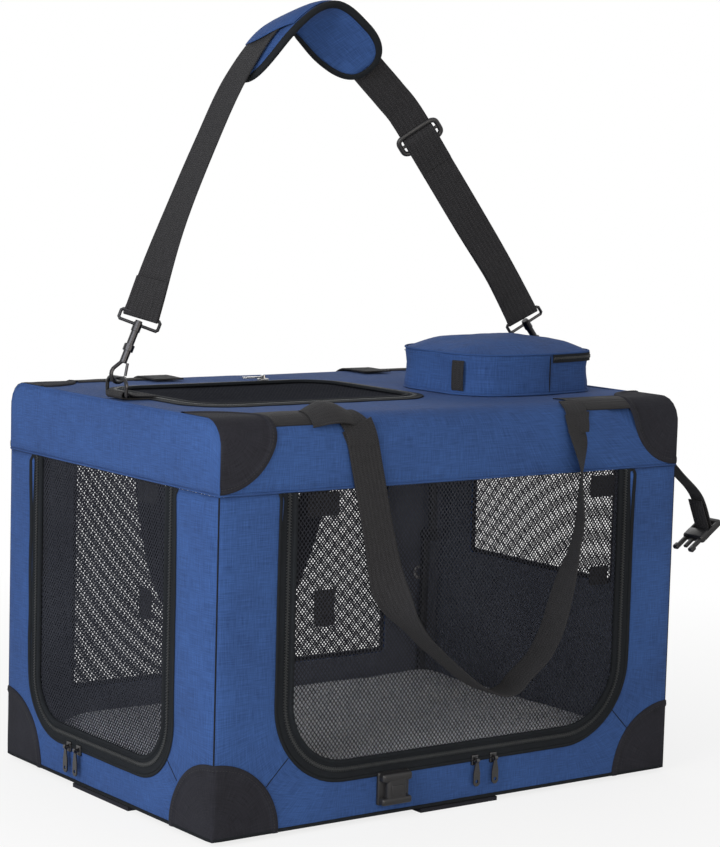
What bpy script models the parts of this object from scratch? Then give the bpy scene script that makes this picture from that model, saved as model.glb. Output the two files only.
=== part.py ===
"""Folding soft-sided pet carrier: fabric walls on two tube rectangles, joined by riveted folding posts.

Metres, +Z up. The origin is the middle of the floor board's underside. +X is the end with the roof pouch,
-Y is the front with the big mesh door.
"""

import math

import bmesh
import bpy
from mathutils import Matrix, Vector

for old in list(bpy.data.objects):
    bpy.data.objects.remove(old)

# Fabric shell
LENGTH = 0.700
WIDTH = 0.490
TOP_Z = 0.491
SEAM_Z = 0.404
FOOT = 0.006
FABRIC = 0.0025
EDGE_R = 0.030
GAP = 0.0003
HALF_L = LENGTH / 2
HALF_W = WIDTH / 2
WALL_LOW = FOOT + GAP
WALL_TOP = SEAM_Z - GAP
BAND_LOW = SEAM_Z + GAP

# Floor board, skids and mat
BOARD_TOP = 0.010
REST_INSET = 0.050
SKID_DEEP = 0.022
SKID_FRONT = (-0.049, 0.070)
SKID_END = (-0.059, 0.074)
MAT_HEIGHT = 0.027
MAT_R = 0.010

# Openings of the walls
FRONT_DOOR_HALF = 0.270
FRONT_DOOR_LOW = 0.063
FRONT_DOOR_R = 0.095
LEFT_DOOR_HALF = 0.179
LEFT_DOOR_LOW = 0.057
LEFT_DOOR_R = 0.070
WINDOW_DROP = 0.012
REAR_WINDOW = (-HALF_L + 0.092, HALF_L - 0.101, FOOT + 0.083, SEAM_Z - WINDOW_DROP)
RIGHT_WINDOW = (-HALF_W + 0.112, HALF_W - 0.078, FOOT + 0.225, SEAM_Z - WINDOW_DROP)
WINDOW_R = 0.025
ZIP_BAND = 0.024
MESH = 0.0012
NET_HOLE = 0.72
NET_EDGE = 0.004
FRONT_NET = (10, 6)
LEFT_NET = (6, 6)
TOP_DOOR_SIDE = 0.117
TOP_DOOR = (-HALF_L + 0.050, 0.052, -HALF_W + TOP_DOOR_SIDE, HALF_W - TOP_DOOR_SIDE)
TOP_DOOR_R = 0.060

# Corner patches
PATCH = 0.0018
LOW_PATCH_R = 0.090
TOP_PATCH_R = 0.078

# Folding frame
TUBE_R = 0.006
RAIL_INSET = 0.014
RAIL_X = HALF_L - RAIL_INSET
RAIL_BEND = 0.030
POST_SET = 0.021
POST_X = RAIL_X - POST_SET
POST_R = 0.0066
POST_INSET = 0.0130
POST_PITCH = 0.0146
LOWER_PLANE = HALF_W - POST_INSET
UPPER_PLANE = LOWER_PLANE - POST_PITCH
BASE_EAR_STEP = 0.0094
TOP_EAR_STEP = 0.0088
BASE_EAR_Y = LOWER_PLANE - BASE_EAR_STEP
TOP_EAR_Y = UPPER_PLANE - TOP_EAR_STEP
EAR = 0.004
EAR_R = 0.008
EYE = 0.008
EYE_R = 0.0085
PIN_R = 0.0030
PIN_CLEAR = 0.0003
SHOULDER_R = 0.0060
RIVET_R = 0.0055
RIVET = 0.0022
LOW_PIVOT_Z = BOARD_TOP + 0.038
HIGH_PIVOT_Z = TOP_Z - 0.040
LEAN = math.radians(1.0)
BASE_RAIL_Z = BOARD_TOP + GAP + TUBE_R
TOP_RAIL_Z = TOP_Z - FABRIC - GAP - TUBE_R
POST_SPAN = (HIGH_PIVOT_Z - LOW_PIVOT_Z) / 2 / math.cos(LEAN)
MID_PIVOT_Z = (HIGH_PIVOT_Z + LOW_PIVOT_Z) / 2
MID_OUT = POST_SPAN * math.sin(LEAN)

# Roof pouch
POUCH_END = 0.045
POUCH_STEP = 0.043
POUCH_FRONT = 0.115
POUCH_REAR = 0.215
POUCH = (TOP_DOOR[1] + POUCH_STEP, HALF_L - POUCH_END, -HALF_W + POUCH_FRONT, HALF_W - POUCH_REAR)
POUCH_WALL = 0.052
POUCH_DOME = 0.070
POUCH_R = 0.030

# Webbing and carrying hardware
WEB = 0.044
WEB_T = 0.0022
RING_INSET = 0.010
RING_X = HALF_L - RING_INSET
RING_Z = TOP_Z + 0.0065
RING_WIRE = 0.0024
RING_HALF = 0.0225
RING_TALL = 0.0205
EYELET_R = 0.0048
EYELET_BORE = 0.0028
TAB_HALF = 0.019
TAB_LAYERS = 1.5
TAB_LONG = {"left": 0.044, "right": 0.032}
HOOK_R = 0.010
HOOK_WIRE = 0.0025
GATE_R = 0.0018
LOOP_WIRE = 0.0022
LOOP_HALF = 0.0250
LOOP_DEEP = 0.0125
STEM_R = 0.0030
PAD_WIDTH = 0.089
PAD_T = 0.013
PAD_CLEAR = 0.0014
GLIDE = (0.054, 0.032, 0.009)
GLIDE_EDGE = 0.4
GLIDE_WINDOW_AT = 0.48
GLIDE_WINDOW = 0.26

# Zip hardware
SLIDER = (0.010, 0.013, 0.0040)
BAIL_WIRE = 0.0012
BAIL_OUT = 0.0034
PULL_LONG = 0.032
PULL_WIDE = 0.010
PULL_T = 0.0016
BAIL_SPREAD = 0.36
PULL_CUT = 0.003
PULL_WAIST = 0.5
PULL_HOLE_AT = 0.6
PULL_HOLE_R = 0.22

# Side-release buckle on the closing strap
CLIP_WIDE = 0.034
CLIP_TALL = 0.030
CLIP_T = 0.012
CLIP_X = -0.0925
CLIP_WEB = 0.025

PARTS = bpy.data.collections.new("pet_carrier_bag")
bpy.context.scene.collection.children.link(PARTS)

FACE_FRONT = Matrix(((1, 0, 0), (0, 0, -1), (0, 1, 0))).to_4x4()
FACE_END = Matrix(((0, 0, 1), (1, 0, 0), (0, 1, 0))).to_4x4()
FACE_TOP = Matrix.Identity(4)

COLOURS = {
    "blue": ((0.052, 0.117, 0.342, 1), 0.85, 0.0),
    "black": ((0.020, 0.020, 0.023, 1), 0.80, 0.0),
    "mesh": ((0.012, 0.012, 0.014, 1), 0.75, 0.0),
    "fleece": ((0.55, 0.54, 0.52, 1), 0.95, 0.0),
    "tube": ((0.30, 0.31, 0.33, 1), 0.35, 1.0),
    "nickel": ((0.62, 0.62, 0.64, 1), 0.25, 1.0),
    "plastic": ((0.028, 0.028, 0.030, 1), 0.45, 0.0),
}


def finish(obj, name, colour):
    """Name a piece and give it its own material."""
    obj.name = name
    obj.data.name = name
    rgba, rough, metal = COLOURS[colour]
    mat = bpy.data.materials.new(name)
    mat.use_nodes = True
    shader = mat.node_tree.nodes["Principled BSDF"]
    shader.inputs["Base Color"].default_value = rgba
    shader.inputs["Roughness"].default_value = rough
    shader.inputs["Metallic"].default_value = metal
    obj.data.materials.clear()
    obj.data.materials.append(mat)
    return obj


def stand(mesh):
    """Put a mesh in the parts collection."""
    obj = bpy.data.objects.new("piece", mesh)
    PARTS.objects.link(obj)
    return obj


def settle(obj):
    """Turn a curve or a modified mesh into a plain welded mesh."""
    graph = bpy.context.evaluated_depsgraph_get()
    graph.update()
    mesh = bpy.data.meshes.new_from_object(obj.evaluated_get(graph))
    bm = bmesh.new()
    bm.from_mesh(mesh)
    bm.transform(obj.matrix_world)
    bmesh.ops.remove_doubles(bm, verts=bm.verts, dist=1e-6)
    bmesh.ops.dissolve_degenerate(bm, edges=bm.edges, dist=1e-6)
    bmesh.ops.recalc_face_normals(bm, faces=bm.faces)
    bm.to_mesh(mesh)
    bm.free()
    bpy.data.objects.remove(obj)
    return stand(mesh)


def combine(target, tool, operation="UNION"):
    """Boolean two pieces; the tool is used up."""
    mod = target.modifiers.new(operation.title(), "BOOLEAN")
    mod.operation = operation
    mod.solver = "EXACT"
    mod.object = tool
    result = settle(target)
    bpy.data.objects.remove(tool)
    return result


def fuse(first, *others):
    """Union several pieces into the first one."""
    for other in others:
        first = combine(first, other)
    return first


def box(low, high):
    """Block between two corners."""
    bm = bmesh.new()
    bmesh.ops.create_cube(bm, size=1.0)
    size = Vector(high) - Vector(low)
    centre = (Vector(high) + Vector(low)) / 2
    bm.transform(Matrix.Translation(centre) @ Matrix.Diagonal(size).to_4x4())
    mesh = bpy.data.meshes.new("box")
    bm.to_mesh(mesh)
    bm.free()
    return stand(mesh)


def rod(start, end, radius, sides=12):
    """Round bar between two points."""
    start = Vector(start)
    end = Vector(end)
    bm = bmesh.new()
    bmesh.ops.create_cone(
        bm, cap_ends=True, segments=sides, radius1=radius, radius2=radius, depth=(end - start).length
    )
    turn = (end - start).to_track_quat("Z", "Y").to_matrix().to_4x4()
    bm.transform(Matrix.Translation((start + end) / 2) @ turn)
    mesh = bpy.data.meshes.new("rod")
    bm.to_mesh(mesh)
    bm.free()
    return stand(mesh)


def wire(points, radius, closed=False, resolution=2):
    """Round wire or tube along a path, with closed ends."""
    curve = bpy.data.curves.new("wire", "CURVE")
    curve.dimensions = "3D"
    curve.bevel_depth = radius
    curve.bevel_resolution = resolution
    curve.use_fill_caps = True
    spline = curve.splines.new("POLY")
    spline.points.add(len(points) - 1)
    for place, point in zip(spline.points, points):
        place.co = (*point, 1.0)
    spline.use_cyclic_u = closed
    return settle(stand(curve))


def plate(loops, thickness, face, offset=0.0):
    """Flat plate from an outline and its holes; offset runs along the face's normal."""
    curve = bpy.data.curves.new("plate", "CURVE")
    curve.dimensions = "2D"
    curve.fill_mode = "BOTH"
    curve.extrude = thickness / 2
    for loop in loops:
        spline = curve.splines.new("POLY")
        spline.points.add(len(loop) - 1)
        for place, (u, v) in zip(spline.points, loop):
            place.co = (u, v, 0.0, 1.0)
        spline.use_cyclic_u = True
    obj = stand(curve)
    obj.matrix_world = face @ Matrix.Translation((0, 0, offset))
    return settle(obj)


def band(stations, thickness):
    """Strap through stations of (middle point, half-width vector)."""
    bm = bmesh.new()
    rows = []
    for middle, half in stations:
        rows.append((bm.verts.new(middle - half), bm.verts.new(middle + half)))
    for (a, b), (c, d) in zip(rows, rows[1:]):
        bm.faces.new((a, b, d, c))
    mesh = bpy.data.meshes.new("band")
    bm.to_mesh(mesh)
    bm.free()
    obj = stand(mesh)
    mod = obj.modifiers.new("Thickness", "SOLIDIFY")
    mod.thickness = thickness
    mod.offset = 0.0
    mod.use_even_offset = True
    return settle(obj)


def arc(u, v, radius, start, end, steps=7):
    """Points of an arc, angles in degrees."""
    points = []
    for step in range(steps + 1):
        angle = math.radians(start + (end - start) * step / steps)
        points.append((u + radius * math.cos(angle), v + radius * math.sin(angle)))
    return points


def hung(half, low, top, radius):
    """Outline with a straight top edge and two round bottom corners."""
    left = arc(-half + radius, low + radius, radius, 180, 270)
    right = arc(half - radius, low + radius, radius, 270, 360)
    return [(-half, top), *left, *right, (half, top)]


def rounded(u0, u1, v0, v1, radius):
    """Rounded rectangle outline."""
    return [
        *arc(u0 + radius, v0 + radius, radius, 180, 270),
        *arc(u1 - radius, v0 + radius, radius, 270, 360),
        *arc(u1 - radius, v1 - radius, radius, 0, 90),
        *arc(u0 + radius, v1 - radius, radius, 90, 180),
    ]


def inset(limits, margin):
    """Rectangle limits drawn in by a margin."""
    u0, u1, v0, v1 = limits
    return u0 + margin, u1 - margin, v0 + margin, v1 - margin


def smooth(points, steps=6):
    """Catmull-Rom path through tuples of any length."""
    path = []
    last = len(points) - 1
    for i in range(last):
        a = points[max(i - 1, 0)]
        b = points[i]
        c = points[i + 1]
        d = points[min(i + 2, last)]
        for step in range(steps):
            t = step / steps
            path.append(
                tuple(
                    q + t / 2 * (r - p + t * (2 * p - 5 * q + 4 * r - s + t * (3 * (q - r) + s - p)))
                    for p, q, r, s in zip(a, b, c, d)
                )
            )
    path.append(tuple(points[last]))
    return path


# Floor board: a lowered rest face, a rim that carries the walls, and four skids
def make_base_panel():
    rim_x = HALF_L - FABRIC - GAP
    rim_y = HALF_W - FABRIC - GAP
    board = box((-rim_x, -rim_y, FOOT), (rim_x, rim_y, BOARD_TOP))
    rest_x = HALF_L - REST_INSET
    rest_y = HALF_W - REST_INSET
    lap = (BOARD_TOP - FOOT) / 2
    board = fuse(board, box((-rest_x, -rest_y, 0), (rest_x, rest_y, FOOT + lap)))
    x0, x1 = SKID_FRONT
    y0, y1 = SKID_END
    for side in (-1, 1):
        outer = sorted((side * HALF_W, side * (HALF_W - SKID_DEEP)))
        inner = sorted((side * (rim_y - lap), side * (HALF_W - SKID_DEEP)))
        board = fuse(
            board,
            box((x0, outer[0], 0), (x1, outer[1], FOOT - lap / 2)),
            box((x0, inner[0], lap), (x1, inner[1], FOOT + lap)),
        )
        outer = sorted((side * HALF_L, side * (HALF_L - SKID_DEEP)))
        inner = sorted((side * (rim_x - lap), side * (HALF_L - SKID_DEEP)))
        board = fuse(
            board,
            box((outer[0], y0, 0), (outer[1], y1, FOOT - lap / 2)),
            box((inner[0], y0, lap), (inner[1], y1, FOOT + lap)),
        )
    finish(board, "base_panel", "plastic")


def make_mat():
    half_x = RAIL_X - TUBE_R - GAP - MAT_R
    half_y = UPPER_PLANE - POST_R - 2 * GAP - RIVET
    low = BOARD_TOP + GAP
    mat = box((-half_x, -half_y, low), (half_x, half_y, low + MAT_HEIGHT))
    mod = mat.modifiers.new("Soft edges", "BEVEL")
    mod.width = MAT_R
    mod.segments = 3
    finish(settle(mat), "fleece_mat", "fleece")


# Walls: flat padded panels with their door and window openings
def make_walls():
    front_y = HALF_W - FABRIC / 2
    end_x = HALF_L - FABRIC / 2
    end_half = HALF_W - FABRIC - GAP
    opening = hung(FRONT_DOOR_HALF, FRONT_DOOR_LOW, WALL_TOP, FRONT_DOOR_R)
    outline = [(HALF_L, WALL_TOP), (HALF_L, WALL_LOW), (-HALF_L, WALL_LOW), (-HALF_L, WALL_TOP)]
    finish(plate([opening + outline], FABRIC, FACE_FRONT, front_y), "front_wall", "blue")
    opening = hung(LEFT_DOOR_HALF, LEFT_DOOR_LOW, WALL_TOP, LEFT_DOOR_R)
    outline = [(end_half, WALL_TOP), (end_half, WALL_LOW), (-end_half, WALL_LOW), (-end_half, WALL_TOP)]
    finish(plate([opening + outline], FABRIC, FACE_END, -end_x), "left_wall", "blue")
    outline = [(-HALF_L, WALL_LOW), (HALF_L, WALL_LOW), (HALF_L, WALL_TOP), (-HALF_L, WALL_TOP)]
    hole = rounded(*REAR_WINDOW, WINDOW_R)
    finish(plate([outline, hole], FABRIC, FACE_FRONT, -front_y), "rear_wall", "blue")
    pane = rounded(*inset(REAR_WINDOW, GAP), WINDOW_R - GAP)
    finish(plate([pane], MESH, FACE_FRONT, -front_y), "rear_window", "mesh")
    outline = [(-end_half, WALL_LOW), (end_half, WALL_LOW), (end_half, WALL_TOP), (-end_half, WALL_TOP)]
    hole = rounded(*RIGHT_WINDOW, WINDOW_R)
    finish(plate([outline, hole], FABRIC, FACE_END, end_x), "right_wall", "blue")
    pane = rounded(*inset(RIGHT_WINDOW, GAP), WINDOW_R - GAP)
    finish(plate([pane], MESH, FACE_END, end_x), "right_window", "mesh")


def mesh_door(outline, field, face, offset):
    """Zip band with a thinner mesh field let in from both faces."""
    door = plate([outline], FABRIC, face, offset)
    recess = (FABRIC - MESH) / 2
    for side in (-1, 1):
        middle = offset + side * (MESH / 2 + recess)
        door = combine(door, plate([field], 2 * recess, face, middle), "DIFFERENCE")
    return door


def net_holes(half, low, high, radius, counts):
    """Grid of square openings in a net field with round lower corners."""
    step_u = 2 * (half - NET_EDGE) / counts[0]
    step_v = (high - low - 2 * NET_EDGE) / counts[1]
    reach = min(step_u, step_v) * NET_HOLE / 2
    holes = []
    for i in range(counts[0]):
        for j in range(counts[1]):
            u = (i + 0.5) * step_u - half + NET_EDGE
            v = low + NET_EDGE + (j + 0.5) * step_v
            corner = (abs(u) + reach - half + radius, low + radius - v + reach)
            if min(corner) < 0 or math.hypot(*corner) < radius - NET_EDGE:
                corners = ((-1, -1), (1, -1), (1, 1), (-1, 1))
                holes.append([(u + reach * a, v + reach * b) for a, b in corners])
    return holes


def net_door(half, low, radius, counts, face, offset):
    """Hanging door: zip band, mesh field and the openings of its net."""
    outline = hung(half - GAP, low + GAP, WALL_TOP, radius - GAP)
    inner = (half - GAP - ZIP_BAND, low + GAP + ZIP_BAND, WALL_TOP - ZIP_BAND / 2, radius - ZIP_BAND)
    door = mesh_door(outline, hung(*inner), face, offset)
    return combine(door, plate(net_holes(*inner, counts), 2 * FABRIC, face, offset), "DIFFERENCE")


def make_doors():
    set_in = HALF_W - FABRIC / 2
    front = net_door(FRONT_DOOR_HALF, FRONT_DOOR_LOW, FRONT_DOOR_R, FRONT_NET, FACE_FRONT, set_in)
    finish(front, "front_door", "mesh")
    left = net_door(LEFT_DOOR_HALF, LEFT_DOOR_LOW, LEFT_DOOR_R, LEFT_NET, FACE_END, FABRIC / 2 - HALF_L)
    finish(left, "left_door", "mesh")
    outline = top_door_outline(GAP)
    field = top_door_outline(GAP + ZIP_BAND)
    finish(mesh_door(outline, field, FACE_TOP, TOP_Z - FABRIC / 2), "top_door", "mesh")


def top_door_outline(margin):
    """Roof door: round corners at the left, straight hinge edge at the right."""
    u0, u1, v0, v1 = inset(TOP_DOOR, margin)
    radius = TOP_DOOR_R - margin
    return [
        *arc(u0 + radius, v0 + radius, radius, 180, 270),
        (u1, v0),
        (u1, v1),
        *arc(u0 + radius, v1 - radius, radius, 90, 180),
    ]


# Roof: a cap with rounded long edges, open below, with the door cut through it
def roof_profile(margin, low):
    """Cross-section of the cap, drawn in by a margin."""
    half = HALF_W - margin
    top = TOP_Z - margin
    radius = EDGE_R - margin
    return [
        (-half, low),
        (half, low),
        *arc(half - radius, top - radius, radius, 0, 90),
        *arc(-half + radius, top - radius, radius, 90, 180),
    ]


def make_top_panel():
    cap = plate([roof_profile(0.0, BAND_LOW)], LENGTH, FACE_END)
    hollow = plate([roof_profile(FABRIC, BAND_LOW - FABRIC)], LENGTH - 2 * FABRIC, FACE_END)
    cap = combine(cap, hollow, "DIFFERENCE")
    opening = plate([top_door_outline(0.0)], 4 * FABRIC, FACE_TOP, TOP_Z)
    finish(combine(cap, opening, "DIFFERENCE"), "top_panel", "blue")


# Corner patches: half-discs wrapped round an edge
def low_patch(name, side_x, side_y):
    """Bottom patch round a vertical edge."""
    out = GAP + PATCH / 2
    stations = []
    for degrees in (-84, -70, -52, -34, -17, 0, 17, 34, 52, 70, 84):
        along = LOW_PATCH_R * math.sin(math.radians(degrees))
        half = Vector((0, 0, LOW_PATCH_R * math.cos(math.radians(degrees)) / 2))
        x = HALF_L + out + min(along, 0)
        y = HALF_W + out - max(along, 0)
        stations.append((Vector((side_x * x, side_y * y, WALL_LOW)) + half, half))
    finish(band(stations, PATCH), name, "black")


def top_patch(name, side_x, side_y):
    """Top patch over a long top edge."""
    radius = EDGE_R + GAP + PATCH / 2
    quarter = EDGE_R * math.pi / 4
    stations = []
    upper = (0, 3.5, 7, 10.5, 14, 18, 28, 40, 55, 70, 84)
    for degrees in [-angle for angle in upper[:0:-1]] + list(upper):
        along = TOP_PATCH_R * math.sin(math.radians(degrees))
        reach = TOP_PATCH_R * math.cos(math.radians(degrees))
        bend = max(-quarter, min(quarter, along))
        angle = math.pi / 4 + bend / EDGE_R
        y = HALF_W - EDGE_R + radius * math.cos(angle) - max(along - quarter, 0)
        z = TOP_Z - EDGE_R + radius * math.sin(angle) + min(along + quarter, 0)
        half = Vector((reach / 2, 0, 0))
        stations.append((Vector((side_x * (HALF_L - reach / 2), side_y * y, z)), half))
    finish(band(stations, PATCH), name, "black")


# Folding frame: two tube rectangles with ears, and eight posts riveted between them
def rail(half_y, z):
    """Tube rectangle with bent corners."""
    outline = rounded(-RAIL_X, RAIL_X, -half_y, half_y, RAIL_BEND)
    return wire([(x, y, z) for x, y in outline], TUBE_R, closed=True)


def rivet(x, z, side, base, seat, far):
    """Shouldered rivet along Y from a base plane, seated before an eye and headed behind it."""
    outward = 1 if far > base else -1
    shoulder = rod((x, side * base, z), (x, side * seat, z), SHOULDER_R)
    pin = rod((x, side * base, z), (x, side * (far + outward * RIVET), z), PIN_R)
    head = rod((x, side * far, z), (x, side * (far + outward * RIVET), z), RIVET_R)
    return fuse(shoulder, pin, head)


def make_base_frame():
    frame = rail(BASE_EAR_Y, BASE_RAIL_Z)
    for side_x in (-1, 1):
        for side_y in (-1, 1):
            x = side_x * POST_X
            crown = arc(x, LOW_PIVOT_Z, EAR_R, 0, 180)
            foot = [(x - EAR_R, BASE_RAIL_Z), (x + EAR_R, BASE_RAIL_Z)]
            ear = plate([foot + crown], EAR, FACE_FRONT, -side_y * BASE_EAR_Y)
            seat = LOWER_PLANE - EYE / 2 - GAP
            far = LOWER_PLANE + EYE / 2 + GAP
            frame = fuse(frame, ear, rivet(x, LOW_PIVOT_Z, side_y, BASE_EAR_Y, seat, far))
    finish(frame, "base_frame", "tube")


def make_top_frame():
    frame = rail(TOP_EAR_Y, TOP_RAIL_Z)
    for side_x in (-1, 1):
        for side_y in (-1, 1):
            x = side_x * POST_X
            crown = arc(x, HIGH_PIVOT_Z, EAR_R, 180, 360)
            foot = [(x + EAR_R, TOP_RAIL_Z), (x - EAR_R, TOP_RAIL_Z)]
            ear = plate([foot + crown], EAR, FACE_FRONT, -side_y * TOP_EAR_Y)
            seat = UPPER_PLANE - EYE / 2 - GAP
            far = UPPER_PLANE + EYE / 2 + GAP
            frame = fuse(frame, ear, rivet(x, HIGH_PIVOT_Z, side_y, TOP_EAR_Y, seat, far))
    finish(frame, "top_frame", "tube")


def post(start, end, y):
    """Round post with a flattened eye round each pivot."""
    start = Vector((start[0], y, start[1]))
    end = Vector((end[0], y, end[1]))
    along = (end - start).normalized()
    trim = along * (SHOULDER_R + 2 * GAP)
    body = rod(start + trim, end - trim, POST_R)
    across = Vector((0, EYE / 2, 0))
    eyes = [rod(place - across, place + across, EYE_R, 16) for place in (start, end)]
    return fuse(body, *eyes)


def bored(body, x, y, z):
    """Pivot hole through an eye."""
    reach = EYE
    return combine(body, rod((x, y - reach, z), (x, y + reach, z), PIN_R + PIN_CLEAR), "DIFFERENCE")


def make_posts():
    for end, side_x in (("left", -1), ("right", 1)):
        for face, side_y in (("front", -1), ("rear", 1)):
            low = (side_x * POST_X, LOW_PIVOT_Z)
            mid = (side_x * (POST_X + MID_OUT), MID_PIVOT_Z)
            high = (side_x * POST_X, HIGH_PIVOT_Z)
            lower = bored(post(low, mid, side_y * LOWER_PLANE), low[0], side_y * LOWER_PLANE, low[1])
            seat = UPPER_PLANE + EYE / 2 + GAP
            far = UPPER_PLANE - EYE / 2 - GAP
            lower = fuse(lower, rivet(mid[0], mid[1], side_y, LOWER_PLANE, seat, far))
            finish(lower, f"lower_post_{face}_{end}", "tube")
            upper = post(mid, high, side_y * UPPER_PLANE)
            upper = bored(upper, mid[0], side_y * UPPER_PLANE, mid[1])
            upper = bored(upper, high[0], side_y * UPPER_PLANE, high[1])
            finish(upper, f"upper_post_{face}_{end}", "tube")


# Roof pouch: an open-bottomed shell with a domed lid
def make_pouch():
    base = TOP_Z + GAP
    dome = POUCH_DOME - POUCH_WALL
    levels = [
        (0.0, base),
        (0.0, base + POUCH_WALL),
        (0.010, base + POUCH_WALL + dome * 0.40),
        (0.030, base + POUCH_WALL + dome * 0.72),
        (0.065, base + POUCH_DOME),
    ]
    bm = bmesh.new()
    rings = []
    for margin, z in levels:
        loop = rounded(*inset(POUCH, margin), max(POUCH_R - margin, 0.010))
        rings.append([bm.verts.new((x, y, z)) for x, y in loop])
    for lower, upper in zip(rings, rings[1:]):
        for i in range(len(lower)):
            bm.faces.new((lower[i - 1], lower[i], upper[i], upper[i - 1]))
    bm.faces.new(rings[-1])
    mesh = bpy.data.meshes.new("pouch")
    bm.to_mesh(mesh)
    bm.free()
    shell = stand(mesh)
    mod = shell.modifiers.new("Cloth", "SOLIDIFY")
    mod.thickness = FABRIC
    mod.offset = -1.0
    finish(settle(shell), "pouch", "blue")


# Zip hardware, built flat as (across, along, out) and then placed
FACE_LEFT = Matrix(((0, 0, -1), (-1, 0, 0), (0, 1, 0))).to_4x4()
FACE_ROOF_ZIP = Matrix(((0, 1, 0), (-1, 0, 0), (0, 0, 1))).to_4x4()


def placed(obj, matrix):
    """Move a finished mesh to its place."""
    obj.data.transform(matrix)
    return obj


def slider_body():
    """Slider block with the bail that carries its pull."""
    wide, long, deep = SLIDER
    axis = GAP + deep + BAIL_OUT
    block = box((-wide / 2, -long / 2, GAP), (wide / 2, long / 2, GAP + deep))
    mod = block.modifiers.new("Edges", "BEVEL")
    mod.width = BAIL_WIRE
    mod.segments = 2
    leg = wide * BAIL_SPREAD
    path = [(-leg, 0, deep / 2), (-leg, 0, axis), (leg, 0, axis), (leg, 0, deep / 2)]
    bail = wire(path, BAIL_WIRE, resolution=1)
    return fuse(settle(block), bail)


def pull_tab():
    """Pull with a barrel round the bail and a hole in its wide end."""
    axis = GAP + SLIDER[2] + BAIL_OUT
    bore = BAIL_WIRE + GAP
    half = SLIDER[0] * BAIL_SPREAD - BAIL_WIRE - GAP
    barrel = rod((-half, 0, axis), (half, 0, axis), 2 * bore)
    neck = BAIL_WIRE + 3 * GAP
    side = PULL_WIDE / 2
    waist = -PULL_LONG * PULL_WAIST
    tip = side - PULL_CUT
    low = PULL_CUT - PULL_LONG
    shape = [(-half, -neck), (-side, waist), (-side, low), (-tip, -PULL_LONG)]
    shape += [(tip, -PULL_LONG), (side, low), (side, waist), (half, -neck)]
    hole = arc(0, PULL_WIDE * PULL_HOLE_AT - PULL_LONG, PULL_WIDE * PULL_HOLE_R, 0, 330, 11)
    tab = fuse(barrel, plate([shape, hole], PULL_T, FACE_TOP, axis))
    return combine(tab, rod((-PULL_WIDE, 0, axis), (PULL_WIDE, 0, axis), bore), "DIFFERENCE")


FRONT_ZIP_Z = FRONT_DOOR_LOW - SLIDER[1] / 2
LEFT_ZIP_Z = LEFT_DOOR_LOW - SLIDER[1] / 2
FRONT_SLIDERS = {"left": 0.030, "right": 0.059}
LEFT_SLIDERS = {"near": 0.056, "far": 0.080}
TOP_SLIDER = (-0.039, TOP_DOOR[3] + SLIDER[0] / 2 + GAP, TOP_Z)
POUCH_SLIDER = (POUCH[1], (POUCH[2] + POUCH[3]) / 2, TOP_Z + POUCH_WALL - SLIDER[1] / 2)


def make_zip_hardware():
    for name, x in FRONT_SLIDERS.items():
        place = Matrix.Translation((x, -HALF_W, FRONT_ZIP_Z)) @ FACE_FRONT
        finish(placed(slider_body(), place), f"front_slider_{name}", "nickel")
        finish(placed(pull_tab(), place), f"front_pull_{name}", "nickel")
    for name, y in LEFT_SLIDERS.items():
        place = Matrix.Translation((-HALF_L, y, LEFT_ZIP_Z)) @ FACE_LEFT
        finish(placed(slider_body(), place), f"left_slider_{name}", "nickel")
        finish(placed(pull_tab(), place), f"left_pull_{name}", "nickel")
    solid_tab = Matrix.Translation((0, 0, -BAIL_OUT / 2))
    piece = fuse(slider_body(), placed(pull_tab(), solid_tab))
    finish(placed(piece, Matrix.Translation(TOP_SLIDER) @ FACE_ROOF_ZIP), "top_slider", "nickel")
    piece = fuse(slider_body(), placed(pull_tab(), solid_tab))
    finish(placed(piece, Matrix.Translation(POUCH_SLIDER) @ FACE_END), "pouch_slider", "nickel")


# Carrying handles: webbing that hangs from the long top edges, lying flat at one leg and turned at the other
HANDLE_PATH = [
    (-0.1715, 0.478, -0.0012, 0),
    (-0.170, 0.461, 0.0032, 0),
    (-0.163, 0.437, 0.0044, 0),
    (-0.150, 0.403, 0.0050, 0),
    (-0.129, 0.319, 0.0060, 0),
    (-0.0935, 0.251, 0.0090, 8),
    (-0.030, 0.181, 0.0190, 28),
    (0.037, 0.144, 0.0230, 45),
    (0.108, 0.162, 0.0210, 35),
    (0.131, 0.198, 0.0200, 30),
    (0.167, 0.296, 0.0240, 52),
    (0.180, 0.371, 0.0200, 40),
    (0.1825, 0.425, 0.0090, 8),
    (0.184, 0.461, 0.0034, 0),
    (0.186, 0.478, -0.0012, 0),
]


def make_handle(name, side):
    path = smooth(HANDLE_PATH, 4)
    stations = []
    for i, (x, z, out, turn) in enumerate(path):
        before = path[max(i - 1, 0)]
        after = path[min(i + 1, len(path) - 1)]
        along = Vector((after[0] - before[0], 0, after[1] - before[1])).normalized()
        flat = Vector((-along.z, 0, along.x))
        angle = math.radians(turn)
        half = flat * math.cos(angle) + Vector((0, side, 0)) * math.sin(angle)
        stations.append((Vector((x, side * (HALF_W + out), z)), half * WEB / 2))
    finish(band(stations, WEB_T), name, "black")


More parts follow.
